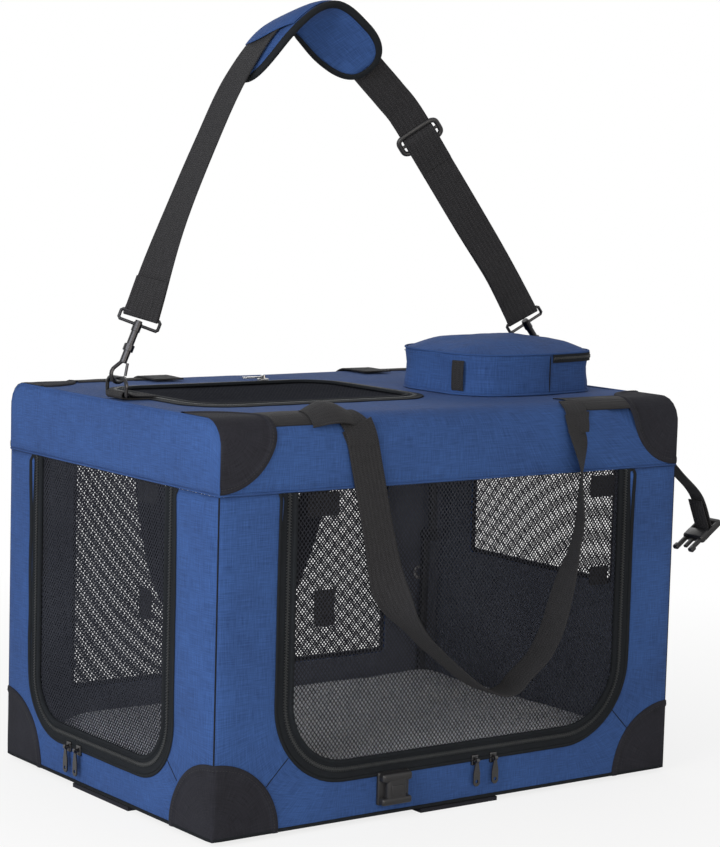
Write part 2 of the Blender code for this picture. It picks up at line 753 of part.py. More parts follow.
# Ring tabs, D-rings, snap hooks and swivel loops
HOOK_LONG = 0.064
HOOK_SEAT = 0.0043
HOOK_TILT = {"left": math.radians(23.7), "right": math.radians(-38.7)}
COLLAR_R = 0.0045
BARREL_R = 0.0055
BARREL_LOW = HOOK_LONG - 0.0085
BARREL_HIGH = HOOK_LONG + 0.0025
STEM_HEAD = 0.0022
GATE_ROOT = (0.0165, COLLAR_R + GAP + GATE_R)
GATE_TIP = (0.0012, HOOK_R)
HOOK_NECK = [(0.024, 0, 0), (0.017, -0.001, 0)]
HOOK_OPEN = 50
HOOK_ARC = 20
HOOK_STEPS = 12
COLLAR_LOW = 0.015
KNOB = (0.030, 0.038)
KNOB_R = COLLAR_R * 1.45
BOW_Z = RING_Z + RING_TALL


def hook_frame(end):
    """Axes of a hook: along its shank, towards its gate and across; its eye rests on the ring's bow."""
    side = -1 if end == "left" else 1
    tilt = HOOK_TILT[end]
    along = Vector((math.sin(tilt), 0, math.cos(tilt)))
    gate = Vector((along.z, 0, -along.x)) * -side
    across = along.cross(gate)
    turn = Matrix((along, gate, across)).transposed().to_4x4()
    return Matrix.Translation(Vector((side * RING_X, 0, BOW_Z)) + along * HOOK_SEAT) @ turn


def make_ring(end, side):
    x = side * RING_X
    tab = rod((x, -TAB_HALF, RING_Z), (x, TAB_HALF, RING_Z), EYELET_R)
    low = TOP_Z + GAP
    inner = side * (RING_X - TAB_LONG[end])
    strip = box((min(x, inner), -WEB / 2, low), (max(x, inner), WEB / 2, low + TAB_LAYERS * WEB_T))
    tab = fuse(tab, strip)
    bore = rod((x, -WEB, RING_Z), (x, WEB, RING_Z), EYELET_BORE)
    tab = combine(tab, bore, "DIFFERENCE")
    notch = RING_WIRE + 2 * GAP
    for way in (-1, 1):
        reach = sorted((way * (TAB_HALF + GAP), way * WEB))
        cut = box((x - 4 * notch, reach[0], low - GAP), (x + 4 * notch, reach[1], RING_Z + EYELET_R))
        tab = combine(tab, cut, "DIFFERENCE")
    finish(tab, f"ring_tab_{end}", "black")
    bend = RING_TALL / 2
    bow = arc(RING_HALF - bend, RING_TALL - bend, bend, 0, 90, 5)
    bow += arc(-RING_HALF + bend, RING_TALL - bend, bend, 90, 180, 5)
    shape = [(-RING_HALF, 0), (RING_HALF, 0), *bow]
    ring = wire([(x, y, RING_Z + z) for y, z in shape], RING_WIRE, closed=True)
    finish(ring, f"d_ring_{end}", "nickel")


def make_hook(end):
    frame = hook_frame(end)
    turns = [math.radians(-HOOK_OPEN - HOOK_ARC * i) for i in range(HOOK_STEPS)]
    eye = [(HOOK_R * math.cos(a), HOOK_R * math.sin(a), 0) for a in turns]
    hook = wire([*HOOK_NECK, *eye], HOOK_WIRE)
    collar = rod((COLLAR_LOW, 0, 0), (BARREL_LOW - GAP, 0, 0), COLLAR_R)
    knob = rod((KNOB[0], 0, 0), (KNOB[1], 0, 0), KNOB_R)
    head = BARREL_HIGH + GAP
    stem = rod((KNOB[0], 0, 0), (head + STEM_HEAD, 0, 0), STEM_R)
    cap = rod((head, 0, 0), (head + STEM_HEAD, 0, 0), COLLAR_R)
    finish(placed(fuse(hook, collar, knob, stem, cap), frame), f"hook_{end}", "nickel")
    gate = rod((*GATE_ROOT, 0), (*GATE_TIP, 0), GATE_R, 12)
    finish(placed(gate, frame), f"hook_gate_{end}", "nickel")


def strap_side(along, turn):
    """Half-width direction of the strap where it runs along a direction, turned by an angle."""
    flat = Vector((along.z, 0, -along.x))
    return flat * math.cos(turn) + Vector((0, -1, 0)) * math.sin(turn)


def loop_bar(end):
    """Middle, shank direction and bar direction of a swivel loop's strap bar."""
    frame = hook_frame(end)
    along = frame.to_3x3().col[0].copy()
    sense = 1 if end == "left" else -1
    bar = strap_side(along * sense, STRAP_TURN[end])
    return frame.translation + along * (HOOK_LONG + LOOP_DEEP), along, bar


def make_loop(end):
    middle, along, bar = loop_bar(end)
    swivel = middle - along * LOOP_DEEP
    cut = LOOP_WIRE
    corners = []
    for u, v in ((-1, 0), (1, 0), (1, 1), (-1, 1)):
        corner = swivel + bar * LOOP_HALF * u + along * LOOP_DEEP * v
        inward_u = -bar * u * cut
        inward_v = along * (1 - 2 * v) * cut
        pair = [corner + inward_u, corner + inward_v]
        corners += pair[::-1] if u * (1 - 2 * v) < 0 else pair
    loop = wire([tuple(p) for p in corners], LOOP_WIRE, closed=True)
    start = swivel + along * (BARREL_LOW - HOOK_LONG)
    stop = swivel + along * (BARREL_HIGH - HOOK_LONG)
    loop = fuse(loop, rod(start, stop, BARREL_R))
    reach = along * LOOP_WIRE
    loop = combine(loop, rod(start - reach, stop + reach, STEM_R + GAP), "DIFFERENCE")
    finish(loop, f"strap_loop_{end}", "nickel")


# Shoulder strap: it rises from the left hook, is turned by the pad and comes down straight to the right hook
STRAP_TURN = {"left": math.radians(37), "right": math.radians(154)}
STRAP_MIDDLE = [
    (-0.269, 0.695, 75),
    (-0.222, 0.798, 83),
    (-0.178, 0.882, 85),
    (-0.125, 0.938, 95),
    (-0.066, 0.955, 115),
    (-0.020, 0.9265, 131),
    (0.020, 0.8965, 146),
    (0.062, 0.87022, 154),
    (0.086, 0.84090, 154),
    (0.140, 0.77493, 154),
    (0.195, 0.70774, 154),
    (0.248, 0.64300, 154),
]
STRAP_STEPS = 6
PAD_SPANS = (3, 7)
GLIDE_X = 0.107


def strap_stations(width):
    first = loop_bar("left")[0]
    last = loop_bar("right")[0]
    points = [(first.x, first.z, math.degrees(STRAP_TURN["left"])), *STRAP_MIDDLE]
    points.append((last.x, last.z, math.degrees(STRAP_TURN["right"])))
    path = smooth(points, STRAP_STEPS)
    stations = []
    for i, (x, z, turn) in enumerate(path):
        before = path[max(i - 1, 0)]
        after = path[min(i + 1, len(path) - 1)]
        along = Vector((after[0] - before[0], 0, after[1] - before[1])).normalized()
        stations.append((Vector((x, 0, z)), strap_side(along, math.radians(turn)) * width / 2))
    return stations


def make_strap():
    strap = band(strap_stations(WEB), WEB_T)
    for end in ("left", "right"):
        middle, along, bar = loop_bar(end)
        half = bar * (WEB / 2 - GAP)
        strap = fuse(strap, rod(middle - half, middle + half, EYELET_R))
    for end in ("left", "right"):
        middle, along, bar = loop_bar(end)
        strap = combine(strap, rod(middle - bar * WEB, middle + bar * WEB, EYELET_BORE), "DIFFERENCE")
    finish(strap, "shoulder_strap", "black")
    first = PAD_SPANS[0] * STRAP_STEPS
    last = PAD_SPANS[1] * STRAP_STEPS
    pad = band(strap_stations(PAD_WIDTH)[first : last + 1], PAD_T)
    slot = band(strap_stations(WEB + 2 * PAD_CLEAR)[first - 2 : last + 3], WEB_T + 2 * PAD_CLEAR)
    finish(combine(pad, slot, "DIFFERENCE"), "shoulder_pad", "blue")


def make_tri_glide():
    (x0, z0, _), (x1, z1, _) = STRAP_MIDDLE[8], STRAP_MIDDLE[11]
    along = Vector((x1 - x0, 0, z1 - z0)).normalized()
    bar = strap_side(along, STRAP_TURN["right"])
    out = bar.cross(along)
    turn = Matrix((bar, along, out)).transposed().to_4x4()
    z = z0 + (GLIDE_X - x0) * (z1 - z0) / (x1 - x0)
    frame = Matrix.Translation((GLIDE_X, 0, z)) @ turn
    wide, long, deep = (size / 2 for size in GLIDE)
    slot = (WEB / 2 + 2 * GAP, long * 2, WEB_T / 2 + GAP)
    body = box((-wide, -long, -deep), (wide, long, deep))
    mod = body.modifiers.new("Edges", "BEVEL")
    mod.width = deep * GLIDE_EDGE
    mod.segments = 2
    body = combine(settle(body), box(tuple(-s for s in slot), slot), "DIFFERENCE")
    for way in (-1, 1):
        middle = way * long * GLIDE_WINDOW_AT
        half = long * GLIDE_WINDOW
        window = box((-slot[0], middle - half, -deep * 2), (slot[0], middle + half, deep * 2))
        body = combine(body, window, "DIFFERENCE")
    finish(placed(body, frame), "tri_glide", "plastic")


# Closing buckle: a socket on the front, a plug on a short strap at the right end
CLIP_Z = (0.013, 0.066)
PLUG_Y = -HALF_W + 0.023
PLUG_HANG = 0.078
PLUG_BAR = (HALF_L + PLUG_HANG, SEAM_Z - 0.090)
PLUG_TILT = math.radians(45)
PLUG_BAR_R = 0.0018
PLUG_EYE_R = 0.0038
PLUG_DEEP = 0.006
PLUG_PRONG = 0.022
PLUG_SEWN = 0.032
PLUG_LEAVES = (0.003, 0.008)
PLUG_BOW = [(0.30, 0.012), (0.70, 0.038), (0.86, 0.058)]
PRONG_SPAN = (0.45, 0.82)
CLIP_EDGE = 0.22
CLIP_RIM = 0.24
CLIP_MOUTH = 0.72
CLIP_WINDOW_AT = 0.35
CLIP_WINDOW = 0.30


def make_buckle():
    low, high = CLIP_Z
    face = -HALF_W - GAP
    half = CLIP_WIDE / 2
    body = box((CLIP_X - half, face - CLIP_T, low), (CLIP_X + half, face, low + CLIP_TALL))
    mod = body.modifiers.new("Edges", "BEVEL")
    mod.width = CLIP_T * CLIP_EDGE
    mod.segments = 2
    tab_half = CLIP_WEB / 2
    tab = box((CLIP_X - tab_half, face - WEB_T, low + CLIP_TALL / 2), (CLIP_X + tab_half, face, high))
    body = fuse(settle(body), tab)
    rim = CLIP_T * CLIP_RIM
    reach = CLIP_TALL * CLIP_MOUTH
    inside = half - rim
    mouth = box((CLIP_X - inside, face - CLIP_T + rim, low - rim), (CLIP_X + inside, face - rim, low + reach))
    body = combine(body, mouth, "DIFFERENCE")
    side = low + CLIP_TALL * CLIP_WINDOW_AT
    top = side + CLIP_TALL * CLIP_WINDOW
    middle = face - CLIP_T / 2
    window = box((CLIP_X - CLIP_WIDE, middle - rim, side), (CLIP_X + CLIP_WIDE, middle + rim, top))
    finish(combine(body, window, "DIFFERENCE"), "buckle_socket", "plastic")

    x, z = PLUG_BAR
    start = HALF_L + GAP + WEB_T / 2
    drop = [(start, SEAM_Z + PLUG_SEWN), (start + PLUG_LEAVES[0], SEAM_Z + PLUG_LEAVES[1])]
    drop += [(HALF_L + PLUG_HANG * share, SEAM_Z - fall) for share, fall in PLUG_BOW] + [(x, z)]
    path = smooth(drop, 4)
    across = Vector((0, CLIP_WEB / 2, 0))
    strap = band([(Vector((px, PLUG_Y, pz)), across) for px, pz in path], WEB_T)
    middle = Vector((x, PLUG_Y, z))
    strap = fuse(strap, rod(middle - across, middle + across, PLUG_EYE_R))
    bore = PLUG_BAR_R + GAP
    strap = combine(strap, rod(middle - 2 * across, middle + 2 * across, bore), "DIFFERENCE")
    finish(strap, "buckle_strap", "black")

    arm_in = CLIP_WEB / 2 + GAP
    half = CLIP_WIDE / 2
    body_top = z - PLUG_EYE_R - 2 * GAP
    body_low = body_top - CLIP_TALL / 2
    deep = PLUG_DEEP / 2
    plug = rod((x, PLUG_Y - half, z), (x, PLUG_Y + half, z), PLUG_BAR_R)
    plug = fuse(plug, box((x - deep, PLUG_Y - half, body_low), (x + deep, PLUG_Y + half, body_top)))
    for way in (-1, 1):
        arm = sorted((PLUG_Y + way * arm_in, PLUG_Y + way * half))
        plug = fuse(plug, box((x - deep, arm[0], body_low + deep), (x + deep, arm[1], z + PLUG_BAR_R + GAP)))
        prong = sorted(PLUG_Y + way * half * share for share in PRONG_SPAN)
        tip = body_low - PLUG_PRONG
        plug = fuse(plug, box((x - deep / 2, prong[0], tip), (x + deep / 2, prong[1], body_low + deep)))
    turn = Matrix.Translation(middle) @ Matrix.Rotation(PLUG_TILT, 4, "Y") @ Matrix.Translation(-middle)
    finish(placed(plug, turn), "buckle_plug", "plastic")


make_base_panel()
make_mat()
make_walls()
make_doors()
make_top_panel()
for end_name, sx in (("left", -1), ("right", 1)):
    for face_name, sy in (("front", -1), ("rear", 1)):
        low_patch(f"low_patch_{face_name}_{end_name}", sx, sy)
        top_patch(f"top_patch_{face_name}_{end_name}", sx, sy)
make_base_frame()
make_top_frame()
make_posts()
make_pouch()
make_zip_hardware()
make_handle("front_handle", -1)
make_handle("rear_handle", 1)
for end_name, sx in (("left", -1), ("right", 1)):
    make_ring(end_name, sx)
    make_hook(end_name)
    make_loop(end_name)
make_strap()
make_tri_glide()
make_buckle()
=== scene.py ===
# %% [markdown]
# # A folding pet carrier, dressed for its portrait
# The frame, posts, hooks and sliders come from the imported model. Everything that is cloth, net or webbing
# is modelled here over it, one kind of piece at a time, and each piece rides on the body that carries it,
# so the bag still folds, its doors still swing and its strap still swings.

import math

import bmesh
import bpy
import numpy as np
from mathutils import Matrix, Vector, noise


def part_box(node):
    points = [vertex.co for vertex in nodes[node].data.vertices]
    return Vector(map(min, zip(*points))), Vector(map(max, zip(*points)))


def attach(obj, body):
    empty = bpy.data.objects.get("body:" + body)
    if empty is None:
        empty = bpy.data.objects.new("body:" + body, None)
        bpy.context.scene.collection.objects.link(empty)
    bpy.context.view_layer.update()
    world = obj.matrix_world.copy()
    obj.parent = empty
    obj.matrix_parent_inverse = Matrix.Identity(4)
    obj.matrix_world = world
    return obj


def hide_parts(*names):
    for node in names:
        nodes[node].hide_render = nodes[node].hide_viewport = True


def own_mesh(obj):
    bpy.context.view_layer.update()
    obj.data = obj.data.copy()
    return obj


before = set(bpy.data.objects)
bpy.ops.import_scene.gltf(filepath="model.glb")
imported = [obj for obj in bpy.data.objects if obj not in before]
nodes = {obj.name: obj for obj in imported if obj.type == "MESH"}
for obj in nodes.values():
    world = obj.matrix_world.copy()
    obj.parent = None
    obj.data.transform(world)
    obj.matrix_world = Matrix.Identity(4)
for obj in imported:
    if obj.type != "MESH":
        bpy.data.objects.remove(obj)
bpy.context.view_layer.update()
scene = bpy.context.scene
scene.view_settings.view_transform = "Standard"

# %% [markdown]
# The main measures are read from the frame, so the cloth always fits the solids. The front face looks to
# -Y, the end with the small door looks to -X.

# %% Measures of the bag
wall_low, wall_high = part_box("front_wall")
roof_low, roof_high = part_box("top_panel")
HALF_L = roof_high.x
HALF_W = roof_high.y
TOP_Z = roof_high.z
SEAM_Z = (wall_high.z + roof_low.z) / 2
WALL_LOW = wall_low.z
EDGE_R = 0.030
print(f"bag {2 * HALF_L:.3f} x {2 * HALF_W:.3f} m, roof at {TOP_Z:.3f}, seam at {SEAM_Z:.3f}")

# %% [markdown]
# ## Camera, floor and light
# The camera stands where the photograph was taken: to the left of the front, a little above the roof, with
# a long lens. Its place and aim were solved from the straight edges of the bag. A small roll tilts the
# picture.

# %% Camera
CAMERA_AT = Vector((-1.84992, -2.54866, 0.79334))
CAMERA_AIM = Vector((0.58876, 0.80093, -0.10896)).normalized()
CAMERA_ROLL = math.radians(1.567)
LENS = 104.86

camera_data = bpy.data.cameras.new("camera")
camera_data.lens = LENS
camera_data.sensor_width = 36.0
camera_data.clip_end = 30.0
camera = bpy.data.objects.new("camera", camera_data)
scene.collection.objects.link(camera)
level_right = CAMERA_AIM.cross(Vector((0, 0, 1))).normalized()
level_up = level_right.cross(CAMERA_AIM)
picture_right = level_right * math.cos(CAMERA_ROLL) + level_up * math.sin(CAMERA_ROLL)
aimed = Matrix((picture_right, picture_right.cross(CAMERA_AIM), -CAMERA_AIM)).transposed().to_4x4()
camera.matrix_world = Matrix.Translation(CAMERA_AT) @ aimed
scene.camera = camera
print("camera at", [round(c, 3) for c in CAMERA_AT])

# %% [markdown]
# Operators work on what is selected, so two helpers keep the selection clear. The others add shader nodes,
# set their inputs and join them. The floor and the dome use them here, and later every finish does.


# %% Selecting objects and wiring nodes
def deselect():
    """Nothing selected, as every operator needs at its start."""
    if bpy.context.object and bpy.context.object.mode != "OBJECT":
        bpy.ops.object.mode_set(mode="OBJECT")
    bpy.ops.object.select_all(action="DESELECT")


def pick(obj):
    """Select one object alone and make it active."""
    deselect()
    obj.select_set(True)
    bpy.context.view_layer.objects.active = obj


def node(tree, kind, **settings):
    """New shader node with some of its settings."""
    made = tree.nodes.new("ShaderNode" + kind)
    for key, value in settings.items():
        setattr(made, key, value)
    return made


def preset(made, values):
    """Set inputs of a node by their names."""
    for title, value in values.items():
        made.inputs[title].default_value = value


def sums(tree, operation, first, second=None):
    """Math node on sockets or plain numbers, giving its output socket."""
    made = node(tree, "Math", operation=operation)
    for slot, value in zip(made.inputs, (first, second)):
        if isinstance(value, (int, float)):
            slot.default_value = value
        elif value is not None:
            tree.links.new(value, slot)
    return made.outputs[0]


def times(tree, first, second):
    """Product of two sockets or numbers."""
    return sums(tree, "MULTIPLY", first, second)


def plus(tree, first, second):
    """Sum of two sockets or numbers."""
    return sums(tree, "ADD", first, second)


def mix_shaders(tree, share, plain, shown, output):
    """Surface that goes from one shader to another by a share."""
    mix = node(tree, "MixShader")
    for slot, socket in zip(mix.inputs, (share, plain.outputs[0], shown.outputs[0])):
        tree.links.new(socket, slot)
    tree.links.new(mix.outputs[0], tree.nodes[output].inputs["Surface"])


print("selection and node helpers ready")

# %% [markdown]
# The floor is a wide plane, white to the camera like the photograph's background, that still takes the soft
# shadow of the bag. The light is a pale dome with one large lamp from the left, because the end face is the
# brightest side in the photograph, a weaker one from the front and a rim light from behind.

# %% Floor, dome and lamps
WHITE = (1.0, 1.0, 1.0, 1)
DOME_STRENGTH = 0.36
LAMP_AIM = (-0.1, 0, 0.25)

deselect()
bpy.ops.mesh.primitive_plane_add(size=40.0, location=(0, 0, 0))
floor = bpy.context.object
floor.name = "floor"
floor_paint = bpy.data.materials.new("floor_white")
floor_paint.use_nodes = True
tree = floor_paint.node_tree
matt = tree.nodes["Principled BSDF"]
preset(matt, {"Base Color": (0.90, 0.90, 0.90, 1), "Roughness": 0.9, "Specular IOR Level": 0.1})
far = node(tree, "VectorMath", operation="LENGTH")
tree.links.new(node(tree, "TexCoord").outputs["Object"], far.inputs[0])
fade = node(tree, "MapRange")
preset(fade, {"From Min": 0.35, "From Max": 1.5, "To Min": 0.80, "To Max": 1.0})
tree.links.new(far.outputs["Value"], fade.inputs["Value"])
seen = times(tree, node(tree, "LightPath").outputs["Is Camera Ray"], fade.outputs["Result"])
mix_shaders(tree, seen, matt, node(tree, "Emission"), "Material Output")
floor.data.materials.append(floor_paint)

scene.world = bpy.data.worlds.new("studio")
scene.world.use_nodes = True
tree = scene.world.node_tree
dome = tree.nodes["Background"]
backdrop = node(tree, "Background")
preset(dome, {"Color": WHITE, "Strength": DOME_STRENGTH})
preset(backdrop, {"Color": WHITE, "Strength": 1.0})
rays = node(tree, "LightPath").outputs
seen = sums(tree, "MAXIMUM", rays["Is Camera Ray"], rays["Is Glossy Ray"])
seen = sums(tree, "MAXIMUM", seen, rays["Is Transmission Ray"])
mix_shaders(tree, seen, dome, backdrop, "World Output")


def lamp(name, place, aim, size, watts, tint=(1, 1, 1)):
    """Large soft area lamp."""
    data = bpy.data.lights.new(name, "AREA")
    data.shape = "RECTANGLE"
    data.size = size[0]
    data.size_y = size[1]
    data.energy = watts
    data.color = tint
    light = bpy.data.objects.new(name, data)
    scene.collection.objects.link(light)
    turn = (Vector(aim) - Vector(place)).to_track_quat("-Z", "Y").to_matrix().to_4x4()
    light.matrix_world = Matrix.Translation(place) @ turn
    return light


lamp("key", (-2.7, -0.9, 1.25), LAMP_AIM, (1.6, 1.6), 58)
lamp("fill", (-0.9, -3.0, 0.95), LAMP_AIM, (1.8, 1.4), 31, (1.0, 0.90, 0.76))
lamp("rim", (1.2, 2.6, 1.8), (0, 0, 0.5), (2.0, 1.4), 10)
print("floor, dome and three lamps")

# %% [markdown]
# ## Tools for sewing
# Most pieces are finished by the same few steps: modifiers become mesh, points that meet are merged and
# open ends are filled. Each is an operator that needs its piece selected, so helpers do both at once.


# %% Operators on one piece
def apply_modifiers(obj):
    """Turn the modifiers of a piece into mesh."""
    pick(obj)
    for modifier in list(obj.modifiers):
        bpy.ops.object.modifier_apply(modifier=modifier.name)
    return obj


def edited(obj, *steps):
    """Mesh operators, each with its settings, run on the whole of one piece."""
    pick(obj)
    bpy.ops.object.mode_set(mode="EDIT")
    bpy.ops.mesh.select_all(action="SELECT")
    for operator, settings in steps:
        operator(**settings)
    bpy.ops.object.mode_set(mode="OBJECT")
    return obj


def merge(obj, distance=0.00002):
    """Close the seams where a skin meets itself."""
    return edited(obj, (bpy.ops.mesh.remove_doubles, {"threshold": distance}))


def close_ends(obj):
    """Fill the open ends of a skin."""
    return edited(obj, (bpy.ops.mesh.fill_holes, {"sides": 0}))


def coloured(obj, paint):
    """Add a material to a piece that is joined to others later."""
    obj.data.materials.append(paint)
    return obj


print("piece helpers ready")

# %% [markdown]
# Nearly every soft piece of this bag is a skin over lines of points: a wall runs from its outer edge to its
# opening, a strap from hook to hook. Blender's grid primitive gives such a skin with its faces already in
# order, so each of its points is moved to its place on the lines. The UV map is laid out in metres along
# and across the skin, so that a weave drawn on it has its true thread size and turns with the cloth. A cord
# is round all along, so it is a curve with a bevel instead.


# %% Skins and tubes
def span(start, end, count):
    """Evenly spaced numbers from start to end, both included."""
    return [start + (end - start) * i / count for i in range(count + 1)]


def skin(name, lines, closed=False):
    """Grid primitive pulled over lines of points, with a UV map in metres."""
    points = np.array(lines, dtype=float)
    if closed:
        points = np.concatenate([points, points[:, :1]], axis=1)
    down, along = points.shape[0], points.shape[1]
    deselect()
    bpy.ops.mesh.primitive_grid_add(x_subdivisions=along - 1, y_subdivisions=down - 1, size=2)
    obj = bpy.context.object
    obj.name = obj.data.name = name
    place = np.empty(len(obj.data.vertices) * 3)
    obj.data.vertices.foreach_get("co", place)
    place = place.reshape(-1, 3)
    column = np.rint((place[:, 0] + 1) / 2 * (along - 1)).astype(int)
    row = np.rint((place[:, 1] + 1) / 2 * (down - 1)).astype(int)
    obj.data.vertices.foreach_set("co", points[row, column].ravel())
    steps_along = np.linalg.norm(np.diff(points, axis=1), axis=2).mean(axis=0)
    steps_down = np.linalg.norm(np.diff(points, axis=0), axis=2).mean(axis=1)
    u = np.concatenate([[0], np.cumsum(steps_along)])
    v = np.concatenate([[0], np.cumsum(steps_down)])
    corner = np.empty(len(obj.data.loops), dtype=int)
    obj.data.loops.foreach_get("vertex_index", corner)
    flat = np.stack([u[column[corner]], v[row[corner]]], axis=1)
    obj.data.uv_layers[0].data.foreach_set("uv", flat.ravel())
    obj.data.update()
    if closed:
        merge(obj)
    bpy.ops.object.shade_smooth()
    return obj


def thicken(obj, depth, offset=-1.0):
    """Give a skin its thickness, inwards unless told otherwise."""
    wall = obj.modifiers.new("thickness", "SOLIDIFY")
    wall.thickness = depth
    wall.offset = offset
    apply_modifiers(obj)
    pick(obj)
    bpy.ops.object.shade_smooth_by_angle(angle=math.radians(50))
    return obj


def tube(name, points, radius, closed=False, sides=2):
    """Round cord along points: a curve with a bevel, made a mesh."""
    data = bpy.data.curves.new(name, "CURVE")
    data.dimensions = "3D"
    data.bevel_depth = radius
    data.bevel_resolution = sides
    data.use_fill_caps = True
    spline = data.splines.new("POLY")
    spline.points.add(len(points) - 1)
    for knot, point in zip(spline.points, points):
        knot.co = (*point, 1)
    spline.use_cyclic_u = closed
    obj = bpy.data.objects.new(name, data)
    scene.collection.objects.link(obj)
    pick(obj)
    bpy.ops.object.convert(target="MESH")
    bpy.ops.object.shade_smooth()
    return bpy.context.object


print("skins and tubes ready")

# %% [markdown]
# A finished piece is often several meshes, such as cloth and its stitches, which are joined so that they
# move as one. It then gets its material, the body of the frame that carries it and the solids that it
# stands in for. The paths of webbing run through a few control points on a smooth curve.


# %% Joining, dressing and smooth paths
def join(name, pieces):
    """Several meshes as one piece."""
    deselect()
    for piece in pieces:
        piece.select_set(True)
    bpy.context.view_layer.objects.active = pieces[0]
    bpy.ops.object.join()
    obj = bpy.context.object
    obj.name = obj.data.name = name
    return obj


def dress(obj, paint, body, *replaced):
    """Give a finished piece its material, the body that carries it and the nodes it stands for."""
    if paint is not None:
        obj.data.materials.clear()
        obj.data.materials.append(paint)
    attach(obj, body)
    if replaced:
        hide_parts(*replaced)
    return obj


def blend_points(a, b, share):
    """Point between two points."""
    return tuple(p + (q - p) * share for p, q in zip(a, b))


def flow(controls, steps):
    """Smooth path through control values, each a tuple of numbers, with so many steps to a stretch."""
    c = np.array(controls, dtype=float)
    c = np.vstack([2 * c[0] - c[1], c, 2 * c[-1] - c[-2]])
    path = []
    for i in range(1, len(c) - 2):
        a, b, d, e = c[i - 1], c[i], c[i + 1], c[i + 2]
        for k in range(steps):
            t = k / steps
            path.append(b + 0.5 * t * (d - a + t * (2 * a - 5 * b + 4 * d - e + t * (3 * (b - d) + e - a))))
    path.append(c[-2])
    return np.array(path)


print("joining and dressing ready")

# %% [markdown]
# A seam shows as a row of short stitches. One stitch is modelled as a small faceted grain of thread, and
# copies of it are laid along a line on the cloth, each turned along the line. Zip teeth are laid in the
# same way.


# %% Rows of small copies
def grain(size):
    """One grain: a stretched icosphere, a few dozen faces."""
    deselect()
    bpy.ops.mesh.primitive_ico_sphere_add(subdivisions=1, radius=0.5)
    obj = bpy.context.object
    obj.scale = size
    bpy.ops.object.transform_apply(location=False, rotation=False, scale=True)
    return obj


def block(size, bevel):
    """One small block with bevelled edges."""
    deselect()
    bpy.ops.mesh.primitive_cube_add(size=1)
    obj = bpy.context.object
    obj.scale = size
    bpy.ops.object.transform_apply(location=False, rotation=False, scale=True)
    return edited(obj, (bpy.ops.mesh.bevel, {"offset": bevel, "segments": 1, "affect": "EDGES"}))


def evenly(path, pitch):
    """Points and directions at even steps along a path."""
    path = np.array([tuple(p) for p in path], dtype=float)
    lengths = np.linalg.norm(np.diff(path, axis=0), axis=1)
    whole = np.concatenate([[0], np.cumsum(lengths)])
    count = max(1, int(whole[-1] / pitch))
    spots = []
    for k in range(count):
        s = (k + 0.5) * whole[-1] / count
        i = min(int(np.searchsorted(whole, s, side="right")) - 1, len(lengths) - 1)
        step, length = path[i + 1] - path[i], max(lengths[i], 1e-9)
        spots.append((path[i] + step * ((s - whole[i]) / length), step / length))
    return spots


def row_of(name, shape, spots):
    """Copies of a small shape at places given as (point, direction, outward)."""
    base = np.array([tuple(v.co) for v in shape.data.vertices])
    faces = [tuple(p.vertices) for p in shape.data.polygons]
    bpy.data.objects.remove(shape)
    points, polygons = [], []
    for point, along, out in spots:
        along = np.array(along, dtype=float)
        out = np.array(out, dtype=float)
        side = np.cross(out, along)
        side /= max(np.linalg.norm(side), 1e-9)
        up_way = np.cross(along, side)
        laid = base[:, :1] * along + base[:, 1:2] * side + base[:, 2:] * up_way
        start = len(points)
        points.extend(map(tuple, laid + np.array(point, dtype=float)))
        polygons.extend(tuple(i + start for i in face) for face in faces)
    mesh = bpy.data.meshes.new(name)
    mesh.from_pydata(points, [], polygons)
    obj = bpy.data.objects.new(name, mesh)
    scene.collection.objects.link(obj)
    pick(obj)
    bpy.ops.object.shade_smooth()
    return obj


STITCH = (0.0030, 0.0007, 0.0006)


def stitches(name, path, out, pitch=0.0042):
    """Row of stitches along a path; out is one outward direction, or one for each point by a function."""
    spots = [(p, t, out(p) if callable(out) else out) for p, t in evenly(path, pitch)]
    return row_of(name, grain(STITCH), spots)


print("stitch and tooth copies ready")

# %% [markdown]
# ## Finishes
# The bag is sewn from few materials: blue polyester with a visible plain weave and uneven threads, black
# cloth of the same kind on the corners, ribbed webbing, knotted net, zip tape, a fleece mat, dark metal and
# moulded plastic. Effects that several finishes share are node groups: the weave, the ribs of webbing, and
# slow stains of tone.


# %% Node group helpers
def new_group(name, inputs, outputs):
    """Empty node group with named number sockets."""
    tree = bpy.data.node_groups.new(name, "ShaderNodeTree")
    for title, value in inputs.items():
        socket = tree.interface.new_socket(title, in_out="INPUT", socket_type="NodeSocketFloat")
        socket.default_value = value
    for title in outputs:
        tree.interface.new_socket(title, in_out="OUTPUT", socket_type="NodeSocketFloat")
    return tree, tree.nodes.new("NodeGroupInput"), tree.nodes.new("NodeGroupOutput")


def streaks(tree, u, v, along, across):
    """Noise drawn out along the threads."""
    spread = node(tree, "CombineXYZ")
    tree.links.new(sums(tree, "DIVIDE", u, along), spread.inputs[0])
    tree.links.new(sums(tree, "DIVIDE", v, across), spread.inputs[1])
    cloud = node(tree, "TexNoise", noise_dimensions="2D")
    preset(cloud, {"Scale": 1.0, "Detail": 3.0})
    tree.links.new(spread.outputs[0], cloud.inputs["Vector"])
    return cloud.outputs["Fac"]


def split_uv(tree):
    """The two UV numbers, metres on this bag."""
    place = node(tree, "TexCoord")
    parts = node(tree, "SeparateXYZ")
    tree.links.new(place.outputs["UV"], parts.inputs[0])
    return parts.outputs[0], parts.outputs[1]


FULL_TURN = 6.2832


def wave(tree, turns):
    """Sine of a number of whole turns."""
    return sums(tree, "SINE", times(tree, turns, FULL_TURN))


print("node group helpers ready")

# %% [markdown]
# The weave is two crossed waves, threads over and under, with noise drawn out both ways for threads of
# uneven thickness. The ribs of webbing lean to and fro. The stains are plain noise in two sizes. A picture
# of cloth would repeat and blur close up, while these stay sharp and true to size.

